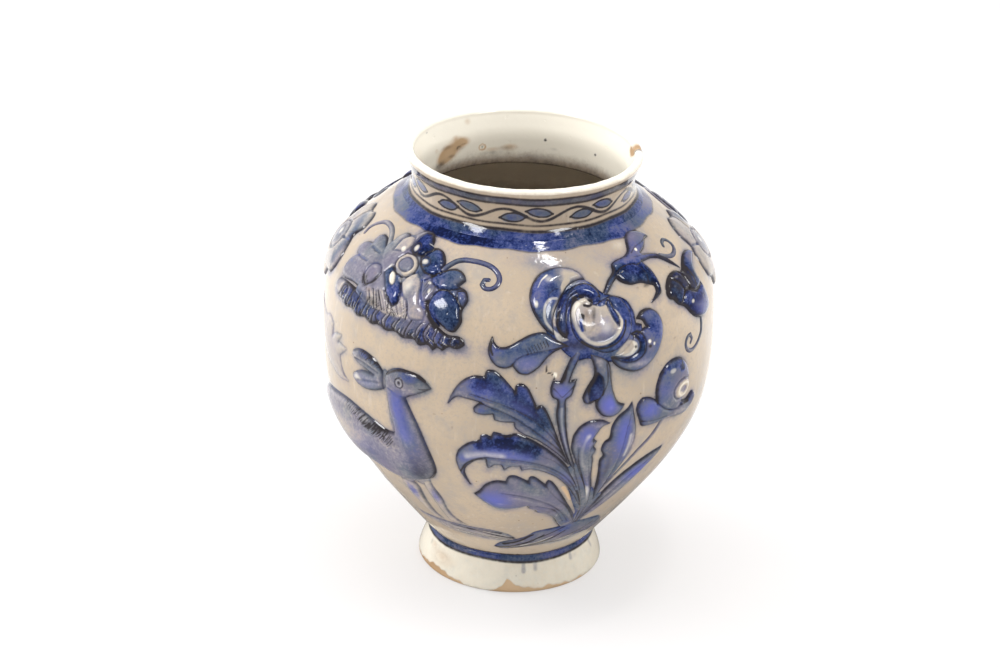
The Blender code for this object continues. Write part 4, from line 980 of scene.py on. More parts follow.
STRIP_TOPS = [
    (-50.6, 78), (-47, 79.4), (-44.6, 79.6), (-41, 78.6), (-38, 78.8), (-35, 80.2)
]
STRIP_FEET = [
    (-48, 75.4), (-43.8, 75.5), (-40.6, 75.8), (-37.8, 75.5), (-35.2, 75.7), (-33.4, 75.5)
]
LOTUS_PAINT = [
    ("blue fill", (0.58, [*PLEAT_TOPS, *PLEAT_FEET[::-1]], 1)),
    ("dark fill", (0.3, [*PLEAT_TOPS, *PLEAT_FEET[::-1]], 1)),
    ("blue wash", (-55, 74.8, 4.6, 1.8, 0.3), (-64, 75.4, 3, 2.4, -0.16), (-18, 73.2, 3, 1.4, 0.3)),
    ("dark wash", (-44, 71.8, 14, 0.9, 0.3)),
    *fringe_marks(44),
    ("blue wash", (-22, 73, 8, 2, 0.16)),
    ("white hatch", (0.5, 0.3, 15, PLEAT_TOPS, PLEAT_FEET, -0.3)),
    ("white ring", (0.9, 0.36, -61.4, 75.4, 2.6, 1.7)),
    ("dark ring", (0.7, 0.6, -61.4, 75.4, 1.6, 1)),
    ("blue fill", (0.22, [(-50.6, 77.8), (-47.2, 79), (-45, 79.6), (-41, 78.6), (-36, 80.6), (-34, 79.6),
      (-32.6, 75.8), (-38, 75.3), (-44, 75.3), (-49.4, 76)], 0.6)),
    ("dark wash", (-47, 77, 4, 1.6, 0.35)),
    ("white hatch", (0.7, 0.5, 15, STRIP_TOPS, STRIP_FEET, 0.3)),
    ("dark hatch", (0.6, 0.8, 16, STRIP_TOPS, STRIP_FEET, 0.3)),
    ("petal", (0.2, 0.06, 0.4, 0.35, [(-51.8, 88.8), (-51.8, 91.7), (-50, 93.6), (-47, 93.8), (-45.3, 91.8),
      (-46.2, 89.7)])),
    ("dark wash", (-34, 86, 3, 1.4, 0.45)),
    ("blue wash", (-34, 86.4, 4, 2, 0.4)),
    ("petal", (0.9, 0, 0.9, 0.7, [(-44.8, 90.4), (-45.2, 93.8), (-43.5, 96), (-39.5, 96.2), (-36, 94.8),
      (-35.2, 92.7), (-36.6, 90.6), (-39.6, 90)]),
     (0.82, 0, 0.9, 0.7, [(-38.4, 89.7), (-36.2, 92), (-33, 93.3), (-29, 92.5), (-26.6, 90.6),
      (-26.2, 88.6), (-27.8, 87.1), (-31.3, 86.5), (-35.4, 87.4)]),
     (0.24, 0.16, 0.4, 0.25, [(-39.8, 82.7), (-38.5, 85), (-36, 86.1), (-32.8, 84.1), (-31.8, 81.8),
      (-30.5, 79.7), (-28.2, 78.3), (-28, 76.6), (-30.5, 76), (-32.8, 76.2), (-34.6, 78.9),
      (-37.6, 80.6)])),
    ("white wash", (-36.4, 82.6, 1.6, 1.5, 0.3), (-30.4, 77.8, 2, 1.2, -0.16)),
    ("blue wash", (-34.6, 80.4, 1.8, 1.8, 0.1)),
    ("petal", (0.44, 0, 0.2, 0.45, [(-32.8, 84.2), (-30.6, 86.2), (-27.6, 86), (-26.2, 83.4), (-27.6, 80.4),
      (-30, 80.2), (-31.4, 82)])),
    ("dark hatch", (0.5, 0.6, 7, [(-31.6, 85.4), (-27, 84.4)], [(-30.6, 81.4), (-27, 81.4)])),
    # These white dabs are painted highlights on the sepals.
    ("white dab", (-29.8, 84.6, 0.8, 0.4, 0.65), (-28.8, 82.8, 0.5, 0.7, 0.6),
     (-26.9, 81.6, 0.45, 0.9, 0.65)),
    ("petal", (0.7, 0, 0.8, 0.6, [(-30.6, 86.1), (-28, 87.8), (-24.8, 89), (-21, 89.2), (-18, 88.2),
      (-17.4, 86.2), (-20.5, 84.6), (-24.8, 83.8), (-28.6, 84.6)])),
    ("blue wash", (-19.6, 87, 2.4, 1.6, -0.18)),
    ("petal", (0.66, 0, 0.6, 0.75, [(-20, 84.2), (-17.2, 84.6), (-14.4, 82.8), (-14.2, 80.6), (-16.2, 79.4),
      (-18.2, 81)]),
     (0.8, 0, 1.2, 0.7, [(-27.8, 80.2), (-26.5, 83), (-23.2, 83.9), (-19.2, 82.3), (-16.8, 80),
      (-16.4, 77.6), (-17.5, 75.8), (-19.4, 74.6), (-22.4, 75.4), (-25.8, 77.5)])),
    ("blue wash", (-23.4, 80.6, 2, 1.6, -0.16)),
    ("dark pool", (1.8, 0.85, [(-28.4, 80.6), (-27, 77.8), (-24, 75.8)])),
    ("petal", (0.34, 0, 0.6, 0.6, [(-55, 80.2), (-55.8, 82.4), (-54.4, 84.1), (-51.4, 84.3), (-49.2, 82.8),
      (-50.2, 80.6), (-52.6, 79)])),
    # This white wash is a painted highlight on the curled petal.
    ("white wash", (-52.8, 83.4, 1.6, 0.6, 0.34)),
    ("dark hatch", (0.5, 0.65, 8, [(-57, 81.8), (-51.6, 79)], [(-55.2, 79), (-50, 77.2)])),
    ("dark wash", (-53.8, 80.4, 1.4, 1.6, 0.6), (-49.8, 80.6, 1.6, 1.8, 0.5)),
    ("dark stroke", (0.7, 0.45, [(-61.4, 86.8), (-58.6, 86.2), (-56.4, 86.6)]),
     (0.7, 0.45, [(-64.6, 83.4), (-61.4, 83), (-58.6, 83.6)])),
    ("petal", (0.72, 0, 1.4, 0.7, [(-48.4, 83.4), (-45.6, 81.3), (-43.3, 79.4), (-40.6, 77.8), (-39, 77.5),
      (-37.9, 78.7), (-38.1, 80.2), (-39.9, 82.6), (-41.2, 84.2), (-44, 85), (-47, 85.4)]),
     (0.02, 0.52, 0.3, 0.6, [(-45.2, 84.4), (-43.6, 84.2), (-41.8, 82.4), (-41.9, 81.4), (-43.4, 81.7),
      (-44.9, 83)])),
    ("white wash", (-40.6, 83.4, 0.7, 0.9, 0.45)),
    ("white dab", (-47.4, 85.2, 0.9, 0.8, 0.4)),
    ("petal", (0.16, 0.14, 0.6, 0.8, [(-37.6, 87.9), (-40.6, 89.6), (-44.8, 89.6), (-46.6, 87.8),
      (-46.2, 85.8), (-43.4, 84.3), (-39.4, 84.3), (-37.4, 85.9)]),
     (0.38, 0, -0.2, 0.6, [(-39.2, 87.5), (-41.4, 88.6), (-43.8, 88.5), (-45, 87.2), (-44.4, 86),
      (-42.6, 85.3), (-40.4, 85.4), (-39.2, 86.3)])),
    ("white dab", (-42.1, 91.4, 1.2, 0.95, 0.52), (-35.3, 89, 1.5, 0.75, 0.52), (-47.6, 90, 1.1, 0.8, 0.5)),
    ("dark ring", (0.7, 0.8, -42.1, 91.4, 1.8, 1.4), (0.7, 0.8, -35.3, 89, 2.2, 1.2)),
    ("lift ring", (1.2, -0.5, -61.4, 75.4, 1.6, 1)),
    ("bare wash", (-50, 78.4, 2.4, 1, 0.4), (-51, 82.2, 1.4, 0.8, 0.3)),
    ("lift hatch", (0.9, -0.5, 16, STRIP_TOPS, STRIP_FEET, 0.3)),
    ("lift stroke", (1.6, -0.7, [(-61.4, 86.8), (-56.4, 86.6)]),
     (1.6, -0.7, [(-64.6, 83.4), (-58.6, 83.6)])),
]
LOTUS = {
    "lotus_crown": (2, 0.32, []),
    "lotus_eye": (2, 0.3, []),
    "lotus_left_wing": (2, 0.4, []),
    "lotus_right_wing": (2.4, 0.66, []),
    "lotus_frill": (2.1, 0.4, []),
    "peony_bloom": (2.2, 0.2, [
        ("dark ring", (0.9, 0.6, -88, 81.4, 6, 3.6), (0.8, 0.6, -88, 81.8, 2.6, 1.6)),
        ("blue wash", (-88, 81.4, 5, 3, 0.3)),
        ("white wash", (-88, 82, 2, 1.2, 0.6)),
        ("blue pool", (5, 0.3, [(-84, 88.6), (-78.6, 84.6), (-77.4, 78)])),
        ("dark hatch", (0.6, 0.4, 16, [(-96, 86), (-88, 88.4), (-80, 86), (-77.4, 80)], [(-93, 84.6),
          (-88, 86.2), (-82.6, 84.4), (-80.4, 80.4)])),
        ("lift ring", (1.6, -0.8, -88, 81.4, 6, 3.6)),
        ("lift stroke", (1.6, -0.9, [(-87.2, 90), (-87.6, 87.6), (-88, 85.4)]),
         (1.6, -0.9, [(-78.4, 83.2), (-81, 82.6), (-83, 82.2)]),
         (1.6, -0.9, [(-97.6, 84), (-95, 83.2), (-93, 82.6)]))]),
}
print("lotus and peony:", ", ".join(LOTUS))

# %% [markdown]
# ## Laying the relief
#
# A sprig is clay pressed in a mould: it rises quickly from the wall at its edge and crowns gently towards
# its middle. So its height is worked out from the distance to its outline on a half-millimetre grid.
# Outside the outline the surface dives into the wall, which gives a clean, soft edge wherever the grid is
# cut, and a floor inside the wall closes the piece. Cobalt settles where the clay is hollow and thins on
# what stands proud, so the painted strength follows the height too.

# %% Relief
GRID_STEP = 0.5
GRID_MARGIN = 2.0
EDGE_SPREAD = 0.3
SINK = 0.9
FLOOR_LIFT = -1.5
EDGE_SHARE = 0.52
EDGE_REACH = 1.1
CROWN_REACH = 4.0
DIVE = 0.6
BASE_BLUE = 0.88
EDGE_POOL_AND_SHADE_BLUE = 0.52
EDGE_POOL_AND_SHADE_BLUE_REACH = 1.7
LIFT_REACH = 1.5
HOLLOW_BLUR = 12
HOLLOW_BLUE = 0.34
HOLLOW_RANGE = (-0.06, 0.26)
LEAST_LOAD = 0.05
FULL_LOAD = 0.55
UNLOADED_LINE = 0.30
RIM_LINE = 0.8
RIM_LINE_DEPTH = 0.1
RIM_LINE_HALF = 0.95
RIM_PAINTED_SHADE = 0.40
RIM_PAINTED_SHADE_HALF = 2.2
VIVID_REACH = 2.6
PANELS = (("front", 0.0), ("back", 180.0))


def soften(field, times):
    """Blur a grid: repeated averaging of each point with its neighbours along rows and columns."""
    for _ in range(times):
        for axis in (0, 1):
            padded = np.concatenate((field.take([0], axis), field, field.take([-1], axis)), axis)
            count = padded.shape[axis]
            field = (padded.take(range(count - 2), axis) + 2 * padded.take(range(1, count - 1), axis)
                     + padded.take(range(2, count), axis)) / 4
    return field


def relief_grid(line, step):
    """Turn and rise on an even chart grid that covers a line's box, with the step in mm at its middle."""
    low, high = line.min(axis=0), line.max(axis=0)
    middle = np.interp((low[1] + high[1]) / 2, wall_climb, wall_points[:, 0]) / MM
    margin = GRID_MARGIN / middle
    columns = np.arange(low[0] - margin, high[0] + margin, step / middle)
    rows = np.arange(max(low[1] - margin, 0.0), min(high[1] + margin, wall_climb[-1]), step / middle)
    x, y = np.meshgrid(columns, rows)
    return np.degrees(x), np.interp(y, wall_climb, wall_rise)


def edge_profile(depth, crown):
    """Height in mm at a depth in mm: half the crown over the first mm, the rest slowly, a dive outside."""
    inside = np.maximum(depth, 0.0)
    rise = crown * (EDGE_SHARE * (1.0 - np.exp(-inside / EDGE_REACH))
                    + (1.0 - EDGE_SHARE) * (1.0 - np.exp(-inside / CROWN_REACH)))
    return np.where(depth > 0.0, rise, np.maximum(DIVE * crown * depth, -SINK))


def close_relief(keep):
    """Faces of a grid's kept cells, of the same cells turned over on the floor, and of the sides between."""
    index = np.arange(keep.size).reshape(keep.shape)
    cells = np.stack((index[:-1, :-1], index[:-1, 1:], index[1:, 1:], index[1:, :-1]), axis=-1).reshape(-1, 4)
    cells = cells[keep.ravel()[cells].any(axis=1)]
    used, cells = np.unique(cells, return_inverse=True)
    cells = cells.reshape(-1, 4)
    count = len(used)
    edges = np.stack((cells, np.roll(cells, -1, axis=1)), axis=-1).reshape(-1, 2)
    lone = edges[~np.isin(edges[:, 0] * count + edges[:, 1], edges[:, 1] * count + edges[:, 0])]
    sides = np.stack((lone[:, 1], lone[:, 0], lone[:, 0] + count, lone[:, 1] + count), axis=1)
    return used, np.concatenate((cells, cells[:, ::-1] + count, sides))


def lay_relief(name, canvas, depth, crown, base, marks, line, replaced):
    """Model and paint one relief from its depth inside the outline in mm, on the front panel and the back."""
    layers = canvas.layers
    inside = np.maximum(depth, 0.0)
    # Cobalt is deeper near each edge: partly glaze pooled against the wall, partly painted shade that rounds
    # the relief.
    layers["blue"] += base * (BASE_BLUE + EDGE_POOL_AND_SHADE_BLUE * np.exp(-inside / EDGE_POOL_AND_SHADE_BLUE_REACH))
    canvas.apply(marks)
    height = edge_profile(depth + EDGE_SPREAD, crown) + layers["lift"] * ramp(depth, 0.0, LIFT_REACH)
    proud = np.maximum(height, 0.0)
    hollow = soften(proud, HOLLOW_BLUR) - proud
    layers["blue"] += np.clip(hollow * HOLLOW_BLUE, *HOLLOW_RANGE) * (layers["blue"] > LEAST_LOAD)
    loaded = ramp(layers["blue"], 0.0, FULL_LOAD)
    # The dark rim is the painted outline plus a painted shade that darkens each relief inside its edge, so it
    # looks rounded.
    rim = (RIM_LINE * bell(depth, RIM_LINE_DEPTH, RIM_LINE_HALF)
           + RIM_PAINTED_SHADE * bell(inside, 0.0, RIM_PAINTED_SHADE_HALF))
    layers["dark"] += line * (UNLOADED_LINE + (1.0 - UNLOADED_LINE) * loaded) * rim
    used, faces = close_relief(depth > -SINK - EDGE_SPREAD)
    colours = np.tile(canvas.colours().reshape(-1, 4)[used], (2, 1))
    inward = ramp(depth, 0.0, min(VIVID_REACH, depth.max() / 2))
    vivid = np.tile(np.clip(layers["vivid"] * inward, 0.0, 1.0).ravel()[used], 2)
    turn, rise, lift = (field.ravel()[used] for field in (canvas.turn, canvas.rise, height * MM))
    for panel, shift in PANELS:
        waves = throwing_waves(turn + shift, rise)
        top = wall_place(turn + shift, rise, lift + waves)
        floor = wall_place(turn + shift, rise, FLOOR_LIFT * MM + waves)
        node = f"{panel}_{name}"
        add_piece(f"{node}_relief", np.concatenate((top, floor)), faces, colours, sprig_glaze,
                  [node] if replaced else [], vivid=vivid)


def lay_outline(name, outline, crown, base, marks, line, replaced):
    """Lay a relief inside a closed outline on the wall's chart."""
    sheet = Canvas(*relief_grid(outline, GRID_STEP), wall_chart)
    depth = outline_depth(sheet.x, sheet.y, sheet.scale, outline)
    lay_relief(name, sheet, depth, crown, base, marks, line, replaced)


GROUPS = ((GAZELLE, 0.52, []), (LEAVES, 0.66, []), (IRIS, 0.70, BLOOM_PAINT), (BUDS, 0.64, []),
          (LOTUS, 0.68, LOTUS_PAINT))
for group, line_strength, shared in GROUPS:
    for sprig_name, (crown, base, marks) in group.items():
        lay_outline(sprig_name, outlines[sprig_name], crown, base, marks + shared, line_strength, True)
print(len(made), "reliefs,", sum(count for _, count in made), "triangles")

# %% [markdown]
# ## Tendrils, tufts and beds
#
# Some of the frieze is only trailed or brushed slip: curling tendrils, the stalk of a bud, the tufts of
# grass at the foot and one faint leaf. Where sprigs overlap, a low bed of clay fills the joint between
# them. All this is thin trim, so the solids leave it out. It is laid the same way, either as a ribbon round
# a centre line or as a low patch inside an outline of a few points.

# %% Trim
TENDRILS = {
    "tendril_right": (2.7, 0.44, [
        (-28.3, 88.8), (-25, 91.3), (-22, 92.2), (-18, 92.4), (-14, 92.2), (-10.5, 91.5), (-8, 90.2),
        (-7, 88.5), (-7.8, 87), (-9.5, 86.2), (-11.5, 86.2), (-12.7, 87), (-12.2, 88.2), (-10.8, 88.3)]),
    "tendril_left": (3, 0.26, [
        (-56.5, 89.4), (-60, 91.7), (-63, 92.7), (-67, 93), (-70.5, 92.5), (-73.5, 91), (-75, 89.3),
        (-74.5, 87.5)]),
    "tendril_spray": (2.3, 0.36, [
        (60.4, 88.2), (65, 86.7), (68.5, 86.8), (71, 87.8), (71.3, 89.3), (69.5, 90.5), (67, 90.3),
        (66, 89.5)]),
    "tendril_hanging": (2.3, 0.32, [
        (66, 71.5), (66, 67.5), (64, 65.5), (61.5, 64.5), (59, 64.5), (57, 65.5), (56.3, 67), (57.2, 68.3),
        (58.8, 68.5), (59.8, 67.3), (59, 66.5)]),
    "bud_stalk": (2.4, 0.24, [
        (48.4, 50.6), (44.4, 46.5), (40.8, 43.9), (37.7, 41), (35.1, 37.8), (32, 33)]),
}
PATCHES = {
    "bloom_bed": (1.1, 0.7, 0.12, [
        (8.4, 77), (9, 80), (10.6, 83), (13.4, 85.8), (17, 88), (21, 88.6), (25, 87), (28, 84.4),
        (34.8, 82), (36.4, 79), (36.4, 76.2), (38.4, 75.6), (37.6, 72.6), (35, 70.4), (30, 68.8), (26, 69),
        (20.4, 70.4), (17.4, 70.2), (15, 71.2), (12.6, 73), (10.6, 74.8)], BLOOM_PAINT + [
        ("dark wash", (18, 73.6, 8, 1.6, 0.6), (36.6, 75.6, 2, 3, 0.4))]),
    "leaf_bed": (0.9, 0.44, 0.3, [
        (17, 43), (19.4, 43.8), (21.2, 41), (23.6, 37.5), (26, 34.4), (27.6, 33.4), (29, 31.6), (30.6, 30),
        (33, 30.4), (33.6, 28), (31.4, 21.6), (29.6, 17), (25, 15.4), (22.4, 16.4), (25.4, 20.2),
        (26.2, 22.6), (24.2, 25.6), (21.2, 30.2), (18.2, 35.6), (15.6, 40.4)], [
        ("dark stroke", (1, 0.6, [(27.6, 17.6), (26.8, 24), (23, 33), (18.6, 41.6)]),
         (1, 0.6, [(28.6, 17.6), (28.4, 24), (27.4, 31)]), (1, 0.6, [(29, 17.6), (30, 24), (32, 29)])),
        ("white stroke", (0.8, 0.35, [(27, 19), (26.4, 25), (23.4, 32)]))]),
    "lotus_bed": (1.9, 0.36, 0.12, [
        (-57, 89.4), (-54, 92.4), (-49, 94.2), (-44, 95.2), (-38, 93.6), (-34, 92.4), (-30, 90.6),
        (-28.6, 88.6), (-26, 86), (-25, 80), (-23, 76), (-28, 74.5), (-36, 74.2), (-44, 74.4), (-52, 75),
        (-57, 76.4), (-56, 80), (-55, 84), (-56.4, 87)], LOTUS_PAINT),
    "leg_bed": (0.9, 0.22, 0.1, [
        (-41, 34.6), (-36, 35.6), (-30, 36.6), (-27.4, 35.6), (-28, 32.4), (-31, 31.6), (-35, 31.6),
        (-37, 29.8), (-40, 31.2)], [
        ("dark wash", (-33, 33, 3, 1.4, 0.35))]),
    "haunch_bed": (1.6, 0.24, 0.25, [
        (-86.4, 35), (-82, 33.8), (-74, 33.4), (-72.8, 30.4), (-74.8, 26.6), (-79, 27.4), (-82.4, 26.4),
        (-86, 26.8), (-87.8, 30)], [
        ("dark wash", (-81, 29, 3.4, 1.6, 0.25))]),
    "ear_bed": (0.9, 0.3, 0.2, [
        (-39.6, 62.4), (-36.6, 61.6), (-36.4, 58.8), (-40, 58), (-41.4, 60.2)], [
        ("dark wash", (-39.4, 60.2, 1.2, 2, 0.4))]),
    "ground_tuft": (1.1, 0.42, 0.35, [
        (-8.4, 5.8), (-5.6, 8), (-1, 9.6), (4, 10.8), (8.4, 12.4), (11.6, 14.8), (16, 15.7), (22, 16.6),
        (28, 19), (31, 17.8), (37, 17.5), (42.8, 16.6), (50.6, 11), (38, 8.2), (20, 7.5), (2, 5.6),
        (-4.6, 5.1)], [
        ("dark stroke", (1.8, 0.95, [(-7, 6), (2, 7.6), (10, 10), (16, 13.6)], 0.5),
         (1.6, 0.9, [(-3, 8.2), (5, 10.2), (11, 13.6)], 0.5),
         (1.8, 0.85, [(0, 6), (12, 8.4), (20, 11), (26, 14.6)], 0.4),
         (1.6, 0.85, [(12, 7.4), (22, 9), (32, 12), (40, 15.6)], 0.4),
         (1.4, 0.8, [(24, 8.2), (34, 9.8), (42, 12.4), (47, 12.6)], 0.4),
         (1.2, 0.8, [(14, 12), (20, 14.6), (27, 17.8)], 0.4)),
        ("white stroke", (1.2, 0.5, [(6, 7.8), (14, 9.6), (21, 12.4)], 0.3),
         (1.2, 0.5, [(20, 8.4), (28, 10.2), (36, 13.4)], 0.3), (1, 0.45, [(0, 8.6), (7, 10.4)], 0.3)),
        ("dark wash", (10, 9, 10, 2, 0.4)),
        ("blue wash", (24, 15.6, 6, 2, 0.2))]),
    "grass_strip": (0.9, 0.24, 0.3, [
        (2.6, 11), (-0.8, 13.2), (-5.6, 14.6), (-11, 15.3), (-23, 15.2), (-39, 14.6), (-47, 14.2),
        (-31, 11.9), (-14, 10.9), (-6, 10.2)], [
        ("dark stroke", (1.4, 0.75, [(2, 11.4), (-6, 13), (-16, 14.4), (-28, 14.6)], 0.5),
         (1.4, 0.75, [(0, 10.9), (-9, 11.9), (-20, 12.6), (-36, 13.6)], 0.5),
         (1, 0.65, [(-4, 14), (-12, 14.8), (-20, 14.8)], 0.5)),
        ("dark wash", (-6, 12.6, 6, 1.4, 0.25)),
        ("bare wash", (-26, 13.6, 9, 1.2, 0.2))]),
    "peony_leaf": (0.7, 0.16, 0.4, [
        (-56.2, 54.4), (-59.4, 56.2), (-61, 59.4), (-57, 62.2), (-60.4, 62.4), (-62.4, 62.2), (-60.2, 64.6),
        (-63.8, 64), (-66.4, 62.6), (-66.2, 65.6), (-69.4, 66.6), (-73.2, 65.6), (-77.4, 66.4),
        (-82.4, 68.4), (-80.6, 64), (-77, 59.8), (-72, 56.4), (-66, 54.6), (-61, 53.8)], [
        ("dark stroke", (0.8, 0.25, [(-80, 66), (-72, 61.6), (-64, 58), (-58, 55)]))]),
}
TENDRIL_CROWN = 1.3
TENDRIL_TAPER = 0.35
TENDRIL_LINE = 0.48
TENDRIL_STEP = 0.9 * GRID_STEP
start_count = len(made)
for trim_name, (width, base, points) in TENDRILS.items():
    middle_line, _ = chart_line(wall_chart, points, closed=False)
    sheet = Canvas(*relief_grid(middle_line, TENDRIL_STEP), wall_chart)
    gap, share, _ = line_distance(sheet.x, sheet.y, middle_line)
    depth = 0.5 * width * (1.0 - TENDRIL_TAPER * share) - gap * sheet.scale
    lay_relief(trim_name, sheet, depth, TENDRIL_CROWN, base, [], TENDRIL_LINE, False)
for trim_name, (crown, base, line_strength, points, marks) in PATCHES.items():
    outlines[trim_name], _ = chart_line(wall_chart, points, closed=True)
    lay_outline(trim_name, outlines[trim_name], crown, base, marks, line_strength, False)
print(len(made) - start_count, "trim pieces")

# %% [markdown]
# ## The thrown wall
#
# The bowl and the shoulder are turned shapes, so a ring of points for each row of the profile is enough.
# The rows are close where paint must be sharp. Both pieces take their shading directions from the same wall
# curve, so the luted joint at the belly does not show, as on the fired jar. Cobalt that ran out from under
# the sprigs is painted from the distance to their outlines, with more below each one, and the blue band is
# brushed round the shoulder.

# %% Wall paint
WALL_COLUMNS = 640
BAND_EDGE = 96.2
FOOT_BAND_TOP = 1.25
PANEL_START = -101.0
FAR = 40.0
RUN_REACH = 0.12
RUN_DROP = 2.2
RUN_BESIDE = 0.21
RUN_BESIDE_REACH = 2.2
RUN_BELOW = 0.17
RUN_BELOW_REACH = 3.0
CONTACT_LINE_AND_SHADOW = 0.52
CONTACT_LINE_AND_SHADOW_HALF = 1.0
BAND_BLUE = 0.58
BAND_POOLED = 0.36
BAND_SIDE_FADE = 0.18
BAND_SOFT = 0.35
BAND_LINE = 0.55
BAND_LINE_HALF = 0.28
BAND_BLED = 0.12
BAND_BLED_REACH = 1.6
SEAM_START = 99.2
SEAM_DARK = 0.35
HEM_BLUE = 0.68
HEM_SOFT = 0.25
HEM_LINE = 0.95
HEM_LINE_HALF = 0.42
INSIDE_GLAZE_END = 166.0
INSIDE_GLAZE_RUN = 28.0
INSIDE_CLAY_DARK = 0.34
INSIDE_CLAY_BARE = 0.25
WALL_MARKS = [
    ("blue wash", (3, 93, 20, 2.4, 0.06), (36, 64, 9, 2, 0.1), (-14, 72, 7, 3, 0.1), (-9, 41.6, 6, 2, 0.08),
     (-22, 92.4, 7, 2.6, 0.1), (33, 92.8, 7, 2.6, 0.12), (8, 93.6, 9, 2, 0.12)),
    ("white wash", (58, 94, 8, 4, 0.3), (44, 94.6, 5, 2, 0.34)),
    ("dark stroke", (0.9, 0.9, [(8.2, 69.4), (8.6, 67.8), (10.2, 67.2), (10.6, 66)]),
     (0.7, 0.35, [(43, 67), (44, 65), (45.6, 64.4)])),
    ("white dab", (10.9, 67, 0.5, 0.8, 0.9)),
    ("dark dab", (45, 83.4, 1.4, 0.5, 0.5), (41.6, 83.6, 0.7, 0.3, 0.5), (50.8, 69.8, 0.8, 0.35, 0.4),
     (-17.6, 52.6, 0.4, 0.4, 0.45), (-22.8, 55.2, 0.4, 0.25, 0.45)),
    ("dark hatch", (1.8, 0.22, 5, [(52, 18), (62, 20)], [(46, 14), (55, 14.6)]),
     (1.2, 0.25, 6, [(-26, 18.4), (-20, 17)], [(-23, 16), (-17, 15.6)])),
    ("bare stroke", (2.6, 0.75, [(16.6, 35.6), (18.8, 32.8), (20.8, 30.2)])),
    ("bare wash", (-6, 55, 6, 4, 0.1)),
]


def panel_turn(turn):
    """Degrees on the panel that covers a turn: the same every half turn, from the panel's start."""
    return (turn - PANEL_START) % 180.0 + PANEL_START


def wall_paint(turn, rise):
    """Paint of the bare wall: cobalt run from the sprigs, their contact line and painted contact shadow, both
    bands and stray marks.
    """
    sheet = Canvas(panel_turn(turn), rise, wall_chart)
    layers = sheet.layers
    edge, above = np.full(turn.shape, FAR), np.full(turn.shape, FAR)
    for outline in outlines.values():
        near = sheet.near(outline, RUN_REACH)
        x, y, scale = sheet.x[near], sheet.y[near], sheet.scale[near]
        for gap, drop in ((edge, 0.0), (above, RUN_DROP)):
            outside = np.maximum(-outline_depth(x, y + drop / scale, scale, outline), 0.0)
            gap[near] = np.minimum(gap[near], outside)
    angle = np.radians(turn)
    patchy = 0.65 + 0.35 * np.sin(5 * angle + 0.23 * rise) * np.sin(3 * angle - 0.31 * rise)
    layers["blue"] += patchy * (RUN_BESIDE * np.exp(-edge / RUN_BESIDE_REACH)
                                + RUN_BELOW * np.exp(-above / RUN_BELOW_REACH))
    # Dark along each sprig's foot: the painted contact line together with a painted contact shadow.
    layers["dark"] += CONTACT_LINE_AND_SHADOW * bell(edge, 0.0, CONTACT_LINE_AND_SHADOW_HALF)
    sheet.apply(WALL_MARKS)
    over_edge = rise - BAND_EDGE + 0.25 * np.sin(9 * angle) + 0.15 * np.sin(23 * angle)
    # Near turn 2 on each panel the band's blue is a little lighter, a painted sheen.
    loaded = (BAND_BLUE + BAND_POOLED * bell(sheet.turn, -26.0, 22.0) - 0.05 * bell(sheet.turn, 2.0, 8.0)
              # Towards both sides of each panel the band's blue grows lighter.
              + 0.08 * np.sin(11 * angle + 0.9 * rise) - BAND_SIDE_FADE * ramp(np.abs(sheet.turn), 42.0, 25.0))
    layers["blue"] += ramp(over_edge, 0.0, BAND_SOFT) * loaded
    layers["blue"] += BAND_BLED * np.exp(-np.maximum(BAND_EDGE - rise, 0.0) / BAND_BLED_REACH)
    layers["dark"] += (BAND_LINE * bell(over_edge, 0.0, BAND_LINE_HALF)
                       + SEAM_DARK * ramp(rise, SEAM_START, 1.0))
    hem = ramp(FOOT_BAND_TOP - rise, 0.0, HEM_SOFT)
    layers["blue"] = layers["blue"] * (1.0 - hem) + HEM_BLUE * hem
    layers["dark"] += HEM_LINE * bell(rise, FOOT_BAND_TOP, HEM_LINE_HALF)
    return sheet.colours()


def inside_paint(level):
    """Paint of the inside: white glaze that ran a little below the neck and thins out to dull brown clay."""
    glazed = ramp(level / MM, INSIDE_GLAZE_END, INSIDE_GLAZE_RUN)
    clay = 1.0 - glazed
    blue = np.zeros(level.shape)
    return np.stack((blue, INSIDE_CLAY_DARK * clay, glazed, INSIDE_CLAY_BARE * clay), axis=-1)


def wall_piece(name, rises, inner, replaced):
    """A shell of the wall: an outer run of rises with wall paint, then (radius, level) rows that close it."""
    turn, rise = np.meshgrid(np.linspace(0.0, 360.0, WALL_COLUMNS, endpoint=False), rises)
    inner_turn, inner_radius, inner_level = turned_grid(inner, WALL_COLUMNS, 0.0)
    points = np.concatenate((wall_place(turn, rise, throwing_waves(turn, rise)),
                             at_turn(inner_radius, inner_turn, inner_level)))
    run = np.gradient(inner, axis=0)
    run /= np.linalg.norm(run, axis=1, keepdims=True)
    radial, up = (np.repeat(part[:, None], WALL_COLUMNS, axis=1) for part in (run[:, 1], -run[:, 0]))
    facing = np.concatenate((wall_facing(turn, rise), at_turn(radial, inner_turn, up)))
    paint = np.concatenate((wall_paint(turn, rise), inside_paint(inner_level)))
    add_piece(name, points.reshape(-1, 3), turned_faces(len(points), WALL_COLUMNS), paint.reshape(-1, 4),
              body_glaze, [replaced], facing.reshape(-1, 3))


def inner_run(start, end):
    """(radius, level) rows along the wall between two rises, set in by the wall's thickness."""
    radius, level, out, up = wall_at(np.linspace(start, end, INNER_ROWS))
    return np.stack((radius - out * BODY_WALL, level - up * BODY_WALL), axis=1)


